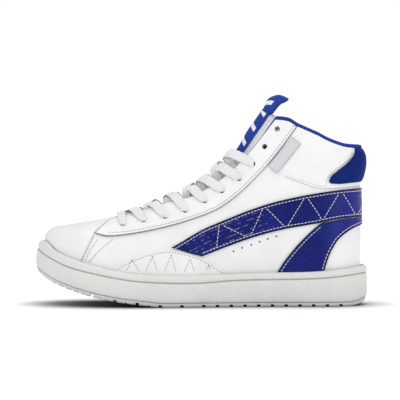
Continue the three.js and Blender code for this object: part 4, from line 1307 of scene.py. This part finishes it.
def make_collar():
    for name, side in SIDES:
        upper = line_at(evenly(232.5, 282.8, 100), above(top_edge, 0.1))
        grid = band(pattern_line(PANEL_LOWER, 100), upper, 56, side, rear=pad_rear)
        piece = panel(f"collar_pad_cover_{name}", grid, **PAD_COVER, puff=1.9, sewn=2.6)
        done(piece, "shell", "white_leather", WHITE_LEATHER, f"collar_panel_{name}")
    upper = line_at(evenly(284.4, 290, 60), above(top_edge, 0.1))
    grid = wrap(pattern_line(HEEL_PANEL_LOWER, 60), upper, 50, HEEL_EDGE)
    piece = panel("heel_pad_cover", grid, **PAD_COVER, puff=3.4)
    done(piece, "shell", "blue_textile", BLUE_CLOTH, "heel_collar_panel")

    lower = np.vstack([pattern_line(COLLAR_LOWER, 20), line_at(columns(250)[1:], level(106))])
    count = len(lower) - 1
    us = np.linspace(238, BACK, count + 1)
    pad = wrap(lower, line_at(us, above(top_edge, -1.2)), 24)
    shorter = tuple(part[END_COLUMNS:-END_COLUMNS] for part in pad)
    foam = panel("collar_padding", shorter, outer=-1.7, thickness=6.2, rounding=1.6)
    done(foam, "shell", "foam", FOAM, "collar_foam")
    turned_in = 5.4 * (1 - smooth(0, 6, end_distance(pad[0]))) ** 1.5
    lining = panel(
        "collar_lining_cloth", pad, outer=-8.3, thickness=0.8, rounding=0.2, relief=turned_in,
    )
    done(lining, "shell", "blue_textile", LINING_CLOTH, "collar_lining")

    edge = np.vstack([pattern_line(LINING_EDGE, 120), line_at(columns(250)[1:], level(97.5))])
    foot = np.linspace(50, BACK, len(edge))
    grid = wrap(line_at(foot, feather_line), edge, 36)
    lining = panel(
        "quarter_lining_cloth", grid, outer=LINING_FACE, thickness=LINING, rounding=0.15,
    )
    done(lining, "shell", "white_textile", WHITE_CLOTH, "quarter_lining")


def make_roll():
    """The ribbed edge of the collar: a rolled tube that thins at its two front ends."""
    us = np.linspace(189, BACK, 380)
    z = top_edge(x_at(us))
    halves = [wall(us, z, side) for side in (LATERAL, MEDIAL)]
    p = np.concatenate([halves[0][0], halves[1][0][::-1][1:]])
    n = np.concatenate([halves[0][1], halves[1][1][::-1][1:]])
    count = len(p)
    at_end = np.minimum(np.arange(count), np.arange(count)[::-1])
    grown = smooth(25, 80, at_end)
    depth = mix(mix(1.2, 2.6, grown), 9.2, smooth(55, 190, at_end))
    along = lengths_along(p)
    up = np.array([0.0, 0.0, 1.0])
    turn = np.linspace(0, 2 * math.pi, 21)[:-1]
    rib = 0.16 * np.sin(2 * math.pi * along / 1.5)
    tip = np.sqrt(np.clip(at_end / 8, 0.02, 1))
    rings = []
    for angle in turn:
        reach_out = (depth / 2 + 0.5 + rib * grown) * math.cos(angle) * tip
        reach_up = (mix(0.7, 2.5, grown) + rib * grown) * max(math.sin(angle), -0.6) * tip
        out = mix(1.1, 0.4, grown) - depth / 2 + reach_out
        lift = mix(0.1, 1.2, grown) + reach_up
        rings.append(p + n * out[:, None] + up * lift[:, None])
    piece = sheet_of("collar_roll", np.stack([*rings, rings[0]], 1))
    close_skin(piece, cap_ends=True)
    smooth_shade(piece, 60)
    done(piece, "shell", "blue_rib", LINING_CLOTH, "collar_binding")


make_collar()
make_roll()


# ---- tongue --------------------------------------------------------------------------------------
def rise(x):
    return ridge(x + 0.5) - ridge(x - 0.5)


def ridge_normal(x):
    return unit(np.stack([-rise(x), np.zeros_like(x), np.ones_like(x)], -1))


def on_ridge(x, y):
    x, y = np.broadcast_arrays(np.asarray(x, float), np.asarray(y, float))
    out = ridge_normal(x)
    return cast(np.stack([x, y + centre_line(x), ridge(x)], -1) - 32 * out, out)


TONGUE_SINK = 6.4
FOAM_MARGIN, LINING_DROP = 4.0, 6.6


def tongue_half(x):
    return mix(25, 19, smooth(130, 180, x))


def tongue_crown(x, y):
    full = mix(2.5, 4.6, smooth(178, 190, x))
    return full * smooth(80, 98, x) * (1 - smooth(5, 14, np.abs(y)))


def tongue_surface(margin=0.0, along=170, across=48):
    x = np.linspace(66 + margin, 203 - margin, along + 1)[:, None]
    y = (tongue_half(x) - margin) * np.linspace(-1, 1, across + 1)[None, :]
    points, normals = on_ridge(x, y)
    return points, normals, x + 0 * y, y


def make_tongue():
    points, normals, x, y = tongue_surface()
    top = -TONGUE_SINK + tongue_crown(x, y)
    inside = np.minimum(border_distance(points), 60)
    rolled = 5.2 * (1 - np.sqrt(np.clip(1 - (1 - np.clip(inside / 4.5, 0, 1)) ** 2, 0, 1)))
    cover = (points, normals)
    face = panel("tongue_leather", cover, 0, thickness=1.1, rounding=0.3, relief=top - rolled)
    done(face, "tongue", "white_leather", WHITE_LEATHER, "tongue_face")
    inner, inner_normals, x, y = tongue_surface(FOAM_MARGIN)
    inner_top = -TONGUE_SINK + tongue_crown(x, y) - 1.8
    inner_grid = (inner, inner_normals)
    foam = panel("tongue_padding", inner_grid, 0, thickness=3.6, rounding=1.2, relief=inner_top)
    done(foam, "tongue", "foam", FOAM, "tongue_foam")
    below = top - LINING_DROP + 0.1 * rolled
    back = panel("tongue_lining_cloth", cover, 0, thickness=1.0, rounding=0.3, relief=below)
    done(back, "tongue", "blue_textile", LINING_CLOTH, "tongue_lining")


make_tongue()


# ---- ribbons: strap, loop, label and laces -------------------------------------------------------
def lace_section(sides=16, flatness=3.2):
    turn = np.linspace(0, 2 * math.pi, sides + 1)[:-1] + math.pi / sides
    c, s = np.cos(turn), np.sin(turn)
    return np.sign(c) * np.abs(c) ** (2 / flatness), np.sign(s) * np.abs(s) ** (2 / flatness)


def webbing_section(columns_across=13):
    x = np.linspace(-0.95, 0.95, columns_across)
    reach = np.concatenate([x, [1, 1], x[::-1], [-1, -1]])
    lift = np.concatenate([np.ones_like(x), [0.5, -0.5], -np.ones_like(x), [-0.5, 0.5]])
    return reach, lift


def ribbon(name, p, across, halves, thick, section, sag=None):
    """A flat band along p; across is its width direction and sag is how its edges droop, per point."""
    along = unit(np.gradient(p, axis=0))
    across = unit(across - along * (across * along).sum(1)[:, None])
    up = np.cross(along, across)
    reach, lift = section
    halves, thick = np.asarray(halves, float), np.asarray(thick, float)
    rings = (
        p[:, None]
        + across[:, None] * (halves[:, None] * reach)[..., None]
        + up[:, None] * (thick[:, None] / 2 * lift)[..., None]
    )
    if sag is not None:
        rings = rings + sag[:, None] * (reach**2)[None, :, None]
    skin = np.concatenate([rings, rings[:, :1]], axis=1)
    run = lengths_along(p)[:, None] + np.zeros(len(reach) + 1)
    width = np.concatenate([reach, reach[:1]])[None, :] * halves[:, None]
    edge = halves[:, None] - np.abs(width)
    piece = sheet_of(name, skin, {"edge": edge}, np.stack([run, width], -1))
    close_skin(piece, cap_ends=True)
    smooth_shade(piece, 60)
    return piece


STRAP_HALF, STRAP_THICK = 12.0, 1.5
STRAP_RISE = 1.9
LOOP = [
    [0.15, -0.8], [9, 0.6], [14, -1.9], [17.8, -5.6],
    [18.4, -8.6], [15.5, -9.8], [9, -9.0], [0.2, -8.9],
]


def make_strap():
    x = np.linspace(177, 203, 60)[:, None]
    y = STRAP_HALF * np.linspace(-1, 1, 41)[None, :]
    points, normals = on_ridge(x, y)
    top = -TONGUE_SINK + tongue_crown(x + 0 * y, y + 0 * x)
    strap = panel(
        "pull_strap_webbing", (points, normals), STRAP_RISE, STRAP_THICK, 0.3, relief=top, sewn=1.6
    )
    done(strap, "tongue", "blue_webbing", WEBBING, "pull_strap")

    tip = on_ridge(203.0, 0.0)[0]
    out = ridge_normal(np.array(203.0))
    up = np.array([out[2], 0, -out[0]])
    path = spline([tip + up * a + out * b for a, b in LOOP], 90)
    sideways = np.tile([0.0, 1.0, 0.0], (len(path), 1))
    way = np.linspace(0, 1, len(path))
    droop = np.interp(way, [0, 0.3, 0.5, 0.7, 1], [7.8, 9.0, 6.5, 0.6, 0.0])
    half_width, thick = np.full(len(path), STRAP_HALF), np.full(len(path), STRAP_THICK)
    loop = ribbon(
        "pull_loop_webbing", path, sideways, half_width, thick, webbing_section(), -out * droop[:, None],
    )
    loop.data.materials.clear()
    loop.data.materials.append(WEBBING)
    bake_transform(loop)
    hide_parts("pull_loop")


LABEL_LENGTH, LABEL_WIDTH = 33, 10.5
LABEL_LIFT, LABEL_TILT = 2.4, 0.12


def make_label():
    foot, foot_n = wall(206.5, 122.5, LATERAL)
    head, head_n = wall(226.0, 147.0, LATERAL)
    start = foot + foot_n * LABEL_LIFT
    along = unit(head + head_n * LABEL_LIFT - start)
    out = unit(foot_n + head_n)
    across = unit(np.cross(along, out))
    across = unit(across * math.cos(LABEL_TILT) + out * math.sin(LABEL_TILT))
    normal = unit(np.cross(along, across))
    if (normal * out).sum() < 0:
        normal = -normal
    s = np.linspace(0.2, LABEL_LENGTH, 70)[:, None]
    t = np.linspace(GAP, GAP + LABEL_WIDTH, 30)[None, :]
    points = start + along * s[..., None] + across * t[..., None]
    normals = np.broadcast_to(normal, points.shape)
    inside = border_distance(points)
    bow = 0.35 * np.sin(np.pi * (t - GAP) / LABEL_WIDTH) * np.ones_like(s)
    ridge_line = 0.3 * np.exp(-(((inside - 1.3) / 0.35) ** 2))
    label = panel(
        "side_flag_label", (points, normals), outer=0.45, thickness=0.9, rounding=0.3,
        relief=bow - ridge_line,
    )
    done(label, "label", "label_grey", LABEL_CLOTH, "flag_label")


make_strap()
make_label()

LACE_HALF, LACE_THICK = 4.0, 1.2
OVER, UNDER = 2.72, -5.2
LACED = 8


def eyelet_at(row, side):
    return wall(*EYELETS[row], side)


def station_on_ridge(point):
    low, high = 40.0, 240.0
    for _ in range(30):
        x = (low + high) / 2
        if point[0] - x + (point[2] - ridge(x)) * rise(x) > 0:
            low = x
        else:
            high = x
    return low


def lace_station(start, end, t, height, half_width):
    chord = mix(start[0], end[0], t)
    x = station_on_ridge(chord)
    p, n = on_ridge(x, chord[1] - centre_line(x))
    across = unit(np.cross(n, unit(end[0] - start[0])))
    return p + n * height, across, half_width, LACE_THICK


def lace_leg(row, side, low):
    start, end = eyelet_at(row, side), eyelet_at(row + 1, -side)
    steps = [
        (0.1, UNDER, 0.8), (0.23, UNDER + 0.9, 0.9), (0.37, low + 1.2, 1), (0.5, low + 2.4, 1.05),
        (0.63, low + 3.3, 1.08), (0.77, OVER + 1.3, 1.08), (0.9, OVER + 0.35, 1.05),
    ]
    return [lace_station(start, end, t, height, share * LACE_HALF) for t, height, share in steps]


def lace_hole(row, side, across):
    p, n = eyelet_at(row, side)
    return [
        (p + n * height, across, half_width, thick)
        for height, half_width, thick in (
            (OVER + 0.2, 3.0, 1.4), (1.5, 1.9, 2.0), (-2.4, 1.9, 2.0), (UNDER + 0.1, 1.9, 1.4)
        )
    ]


TAIL_WALL = [
    [197.2, 121.9, 5.5], [203, 114.5, 6.6], [208.5, 100, 7.2],
    [211.5, 82, 7.2], [212.5, 64, 7.6], [211, 46, 9.5],
]
TAIL_BED = [[202, 0.58], [184, 0.5], [160, 0.5], [135, 0.55], [110, 0.55], [94, 0.52], [80, 0.46]]


def inside_wall(at, side):
    p, n = wall(at[0], at[1], side)
    return p - n * at[2], n


def half_lace(side, low):
    stations = []
    here = side
    for row in range(LACED - 1):
        leg = lace_leg(row, here, low)
        stations += lace_hole(row, here, leg[0][1]) + leg
        here = -here
    stations += lace_hole(LACED - 1, here, stations[-1][1])
    (start, n), (onward, _) = inside_wall(TAIL_WALL[0], here), inside_wall(TAIL_WALL[1], here)
    way = unit(onward - start)
    return [*stations, (start - way * 0.9, unit(np.cross(n, way)), 2.6, LACE_THICK)]


def smoothed(stations, per_gap):
    """Stations of a ribbon joined by a smooth line; widths and directions follow evenly."""
    p = np.array([s[0] for s in stations])
    across = np.array([s[1] for s in stations])
    for i in range(1, len(across)):
        if (across[i] * across[i - 1]).sum() < 0:
            across[i] = -across[i]
    sizes = np.array([[s[2], s[3]] for s in stations])
    line = curve_through(p, per_gap)
    steps = np.arange(len(line)) / per_gap
    knots = np.arange(len(p))
    across = np.stack([np.interp(steps, knots, across[:, k]) for k in range(3)], -1)
    sizes = np.stack([np.interp(steps, knots, sizes[:, k]) for k in range(2)], -1)
    return line, unit(across), sizes[:, 0], sizes[:, 1]


def make_lace():
    first, second = eyelet_at(0, LATERAL), eyelet_at(0, MEDIAL)
    bar = [
        lace_station(first, second, t, OVER, share * LACE_HALF)
        for t, share in ((0.1, 0.9), (0.25, 1), (0.5, 1), (0.75, 1), (0.9, 0.9))
    ]
    stations = [*half_lace(LATERAL, -1.8)[::-1], *bar, *half_lace(MEDIAL, -0.1)]
    lace = ribbon("woven_lace", *smoothed(stations, 7), lace_section())
    done(lace, "shell", "lace_white", LACE_CLOTH, "lace")


TIP_LENGTH, TIP_RADIUS = 22, 2.2


def make_tail(name, side):
    """A free end of the lace, tucked down the wall and forward on the footbed, with its tip."""
    placed = [inside_wall(at, side) for at in TAIL_WALL]
    route = [p for p, _ in placed]
    facing = [n for _, n in placed]
    for x, share in TAIL_BED:
        y = centre_line(x) + side * share * half(x, side, FOOTBED_INSET)
        route.append(np.array([x, float(y), float(feather_line(x)) + FOOTBED + 3.2]))
        facing.append(np.array([0.0, 0.0, 1.0]))
    count = 110
    path = spline(route, count)
    knots = lengths_along(np.array(route))
    at = np.linspace(0, knots[-1], count + 1)
    up = unit(np.stack([np.interp(at, knots, np.array(facing)[:, k]) for k in range(3)], -1))
    across = np.cross(up, unit(np.gradient(path, axis=0)))
    halves = np.interp(np.arange(count + 1), [0, 8, count - 14, count], [2.6, LACE_HALF, LACE_HALF, 1.9])
    thick = np.interp(np.arange(count + 1), [0, count - 14, count], [LACE_THICK, LACE_THICK, 2.4])
    tail = ribbon(f"lace_end_{name}", path, across, halves, thick, lace_section())

    end = path[-1]
    next_x = end[0] - TIP_LENGTH
    target = np.array([next_x, end[1], float(feather_line(next_x)) + FOOTBED + 3.5])
    onward = unit(target - end)
    deselect()
    bpy.ops.mesh.primitive_cylinder_add(
        vertices=28, radius=TIP_RADIUS * MM, depth=TIP_LENGTH * MM,
        location=to_frame(end + onward * (TIP_LENGTH / 2 + 0.6)),
        rotation=Vector(onward).to_track_quat("Z", "Y").to_euler(),
    )
    tip = bpy.context.object
    tip.name = f"lace_tip_{name}"
    place_into_mesh(tip)
    apply_modifier(
        tip, "BEVEL", width=0.5 * MM, segments=3, limit_method="ANGLE", angle_limit=math.radians(60),
    )
    smooth_shade(tip)
    done(tip, "shell", "aglet_clear", CLEAR_TIP, f"aglet_{name}")
    done(tail, "shell", "lace_white", LACE_CLOTH, f"lace_tail_{name}")


make_lace()
for side_name, side_sign in SIDES:
    make_tail(side_name, side_sign)


# ---- stitching -----------------------------------------------------------------------------------
THREAD = 0.62


def stitch_shape():
    """One stitch, one unit long and thick: a rounded bead that is blunt at its ends."""
    deselect()
    bpy.ops.mesh.primitive_uv_sphere_add(segments=6, ring_count=5, radius=0.5)
    bead = bpy.context.object
    co = np.array([v.co for v in bead.data.vertices])
    co[:, 2] = np.sign(co[:, 2]) * 0.5 * np.abs(co[:, 2] / 0.5) ** 0.7
    faces = [list(f.vertices) for f in bead.data.polygons]
    bpy.ops.object.delete()
    return co, faces


STITCH_POINTS, STITCH_FACES = stitch_shape()


def copies(name, centres, longways, normals, length, width, height):
    """One mesh of many small beads, each turned along its row."""
    longways = unit(longways)
    side = unit(np.cross(normals, longways))
    up = np.cross(longways, side)
    shape = STITCH_POINTS
    points = (
        centres[:, None]
        + side[:, None] * (shape[:, 0] * width)[None, :, None]
        + up[:, None] * (shape[:, 1] * height)[None, :, None]
        + longways[:, None] * (shape[:, 2])[None, :, None] * np.reshape(length, (-1, 1, 1))
    )
    count = len(shape)
    faces = [[v + k * count for v in face] for k in range(len(centres)) for face in STITCH_FACES]
    mesh = bpy.data.meshes.new(name)
    mesh.from_pydata(to_frame(points.reshape(-1, 3)).tolist(), [], faces)
    mesh.update()
    piece = bpy.data.objects.new(name, mesh)
    bpy.context.scene.collection.objects.link(piece)
    smooth_shade(piece, 80)
    return piece


def sewn_path(points, side, height, curved=True):
    """A row on the side pattern as dense points in space with normals."""
    flat = np.array([(float(unroll(x)), z) for x, z in points])
    total = lengths_along(flat)[-1]
    count = max(4, int(total / 0.8))
    line = spline(flat, count) if curved and len(flat) > 2 else evenly_spaced(flat, count)
    line[:, 0] = np.minimum(line[:, 0], BACK - 0.6)
    p, n = wall(line[:, 0], line[:, 1], side)
    return p + n * height, n


def inset_line(points, distance, steps=80):
    """A pattern line moved sideways by a distance; positive is to the left of its direction."""
    flat = np.array([(float(unroll(x)), z) for x, z in points])
    line = spline(flat, steps)
    way = unit(np.gradient(line, axis=0))
    moved = line + distance * np.stack([-way[:, 1], way[:, 0]], -1)
    return np.stack([x_at(moved[:, 0]), moved[:, 1]], -1)


def stitches_on(path, normals, pitch, length):
    """Centres, directions and normals of the stitches along a path."""
    at = lengths_along(path)
    count = max(1, int(at[-1] / pitch))
    start = (at[-1] - count * pitch) / 2
    middles = start + pitch * (np.arange(count) + 0.5)

    def value(data, where):
        return np.stack([np.interp(where, at, data[:, k]) for k in range(3)], -1)

    ends = value(path, middles - length / 2), value(path, middles + length / 2)
    return (ends[0] + ends[1]) / 2, ends[1] - ends[0], value(normals, middles)


def sew(name, rows, body, slot, material, pitch=3.0, length=2.2, thread=THREAD, holes=False):
    """Rows of stitches as one piece, with their needle holes as another where they show: dark dots of
    painted shadow.
    """
    parts = [stitches_on(p, n, pitch, length) for p, n in rows]
    centres, ways, normals = (np.concatenate(part) for part in zip(*parts))
    sizes = np.linalg.norm(ways, axis=1)
    piece = copies(name, centres, ways, normals, sizes, thread, thread * 0.8)
    done(piece, body, slot, material)
    if holes:
        # the needle holes are dark dots of painted shadow set just under the surface
        ahead = centres + unit(ways) * (pitch / 2) - normals * 0.02
        dots = copies(f"{name}_holes", ahead, ways, normals, np.full(len(ahead), 0.95), 0.85, 0.5)
        done(dots, body, slot, PAINTED_HOLE_SHADOW)


ZIGZAGS = [
    [[163.5, 71], [161, 52]], [[166, 71], [188, 60.5]], [[202, 86], [191, 62]],
    [[204.5, 86], [220.5, 70]], [[238, 94.5], [223, 70]], [[241, 94.5], [253.5, 76]],
    [[272, 99], [255.5, 76]], [[275, 99], [283.5, 80]], [[285, 80], [290, 95]],
]
TRIANGLE_PEAKS = [[88, 41], [105.5, 44], [121.5, 45], [138, 41.5], [154, 36]]
TRIANGLE_FEET = [[82, 94.5], [99, 110], [115, 126], [132, 142], [151, 156]]
TRIANGLE_FOOT_Z = [30.5, 30.3, 30.2, 29.6, 31.2]
VAMP_ROWS = [
    [[43.5, 39.5], [48.5, 50], [54, 61]],
    [[46, 39], [51, 49.5], [57.5, 58.5]],
    [[49, 38], [58, 48], [70, 58.5]],
]
COLLAR_SEAM = [
    [219, 114.3], [225, 112], [235, 108.3], [245, 104.6],
    [255, 102.8], [262, 103], [275, 103.8], [289, 105.2],
]
HEEL_SEAM = [[281.5, 136], [281, 132], [277, 126.6], [271, 121.6], [265, 116.8], [260.6, 112.4]]
HEAVY_ROW = {"pitch": 3.1, "length": 2.5, "thread": 0.68}
FINE_ROW = {"pitch": 2.5, "length": 1.7, "thread": 0.5, "holes": True}
PLAIN_ROW = {"pitch": 2.6, "length": 1.7, "thread": 0.5, "holes": True}
PAD_ROW = {"pitch": 2.6, "length": 1.8, "thread": 0.55, "holes": True}


ON_LEG, ON_STRIPE, ON_ZIGZAG = 1.7, 1.72, 1.82
ON_STAY, ON_VAMP, ON_PATCH, ON_COLLAR, ON_HEEL_PAD = 1.75, 0.08, 1.6, 0.1, 1.8
ON_TONGUE = 0.06


def make_stitching(name, side):
    stripe = [
        sewn_path(inset_line(STRIPE_UPPER, -2.3), side, ON_STRIPE),
        sewn_path(inset_line(STRIPE_LOWER, 2.3), side, ON_STRIPE),
        *[sewn_path(line, side, ON_ZIGZAG, curved=False) for line in ZIGZAGS],
    ]
    sew(f"stripe_stitching_{name}", stripe, "shell", "white_textile", CREAM_THREAD, **HEAVY_ROW)
    leg = [
        sewn_path(inset_line([p for p in LEG_FRONT if p[0] < 254], -2.5), side, ON_LEG),
        sewn_path(inset_line([[256.5, 31], *LEG_REAR[1:]], 2.3), side, ON_LEG),
    ]
    sew(f"heel_leg_stitching_{name}", leg, "shell", "white_textile", CREAM_THREAD, **HEAVY_ROW)

    stay = [
        sewn_path(inset_line(EYESTAY_LOWER[1:], 2.2), side, ON_STAY),
        sewn_path([[66, 69.3], [80, 76], [100, 80.4], [118, 85.4]], side, ON_STAY),
    ]
    sew(f"eyestay_stitching_{name}", stay, "shell", "white_textile", WHITE_THREAD, **FINE_ROW)
    vamp = [sewn_path(row, side, ON_VAMP) for row in VAMP_ROWS]
    sew(f"vamp_stitching_{name}", vamp, "shell", "white_textile", WHITE_THREAD, **FINE_ROW)
    patch = [sewn_path(inset_line(PATCH_ARCH, -1.5), side, ON_PATCH)]
    for peak, feet, foot_z in zip(TRIANGLE_PEAKS, TRIANGLE_FEET, TRIANGLE_FOOT_Z):
        patch += [sewn_path([[foot, foot_z], peak], side, ON_STRIPE, curved=False) for foot in feet]
    sew(f"patch_stitching_{name}", patch, "shell", "white_textile", WHITE_THREAD, **PLAIN_ROW)
    collar = [sewn_path(COLLAR_SEAM, side, ON_COLLAR)]
    sew(f"collar_stitching_{name}", collar, "shell", "white_textile", WHITE_THREAD, **PLAIN_ROW)
    heel = [sewn_path(HEEL_SEAM, side, ON_HEEL_PAD)]
    sew(f"heel_pad_stitching_{name}", heel, "shell", "white_textile", WHITE_THREAD, **PAD_ROW)


for side_name, side_sign in SIDES:
    make_stitching(side_name, side_sign)


def make_small_stitching():
    x = np.linspace(179, 202, 40)
    rows = []
    for y in (-STRAP_HALF + 1.6, STRAP_HALF - 1.6):
        p, n = on_ridge(x, np.full_like(x, y))
        rows.append((p + n * (STRAP_RISE - TONGUE_SINK + tongue_crown(x, y))[:, None], n))
    sew("strap_stitching", rows, "tongue", "blue_textile", BLUE_THREAD, 2.4, 1.7, 0.45)
    x = np.linspace(96, 201, 150)
    rows = []
    for sign in (-1, 1):
        y = sign * (tongue_half(x) - 5.0)
        p, n = on_ridge(x, y)
        rows.append((p + n * (ON_TONGUE - TONGUE_SINK + tongue_crown(x, y))[:, None], n))
    sew("tongue_stitching", rows, "tongue", "white_textile", WHITE_THREAD, 2.6, 1.8, 0.5)


make_small_stitching()


# ---- carried-over parts --------------------------------------------------------------------------
for node_name in ("insole_board", "toe_puff", "heel_counter"):
    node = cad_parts[node_name]
    node.data.materials.clear()
    node.data.materials.append(FIBREBOARD)
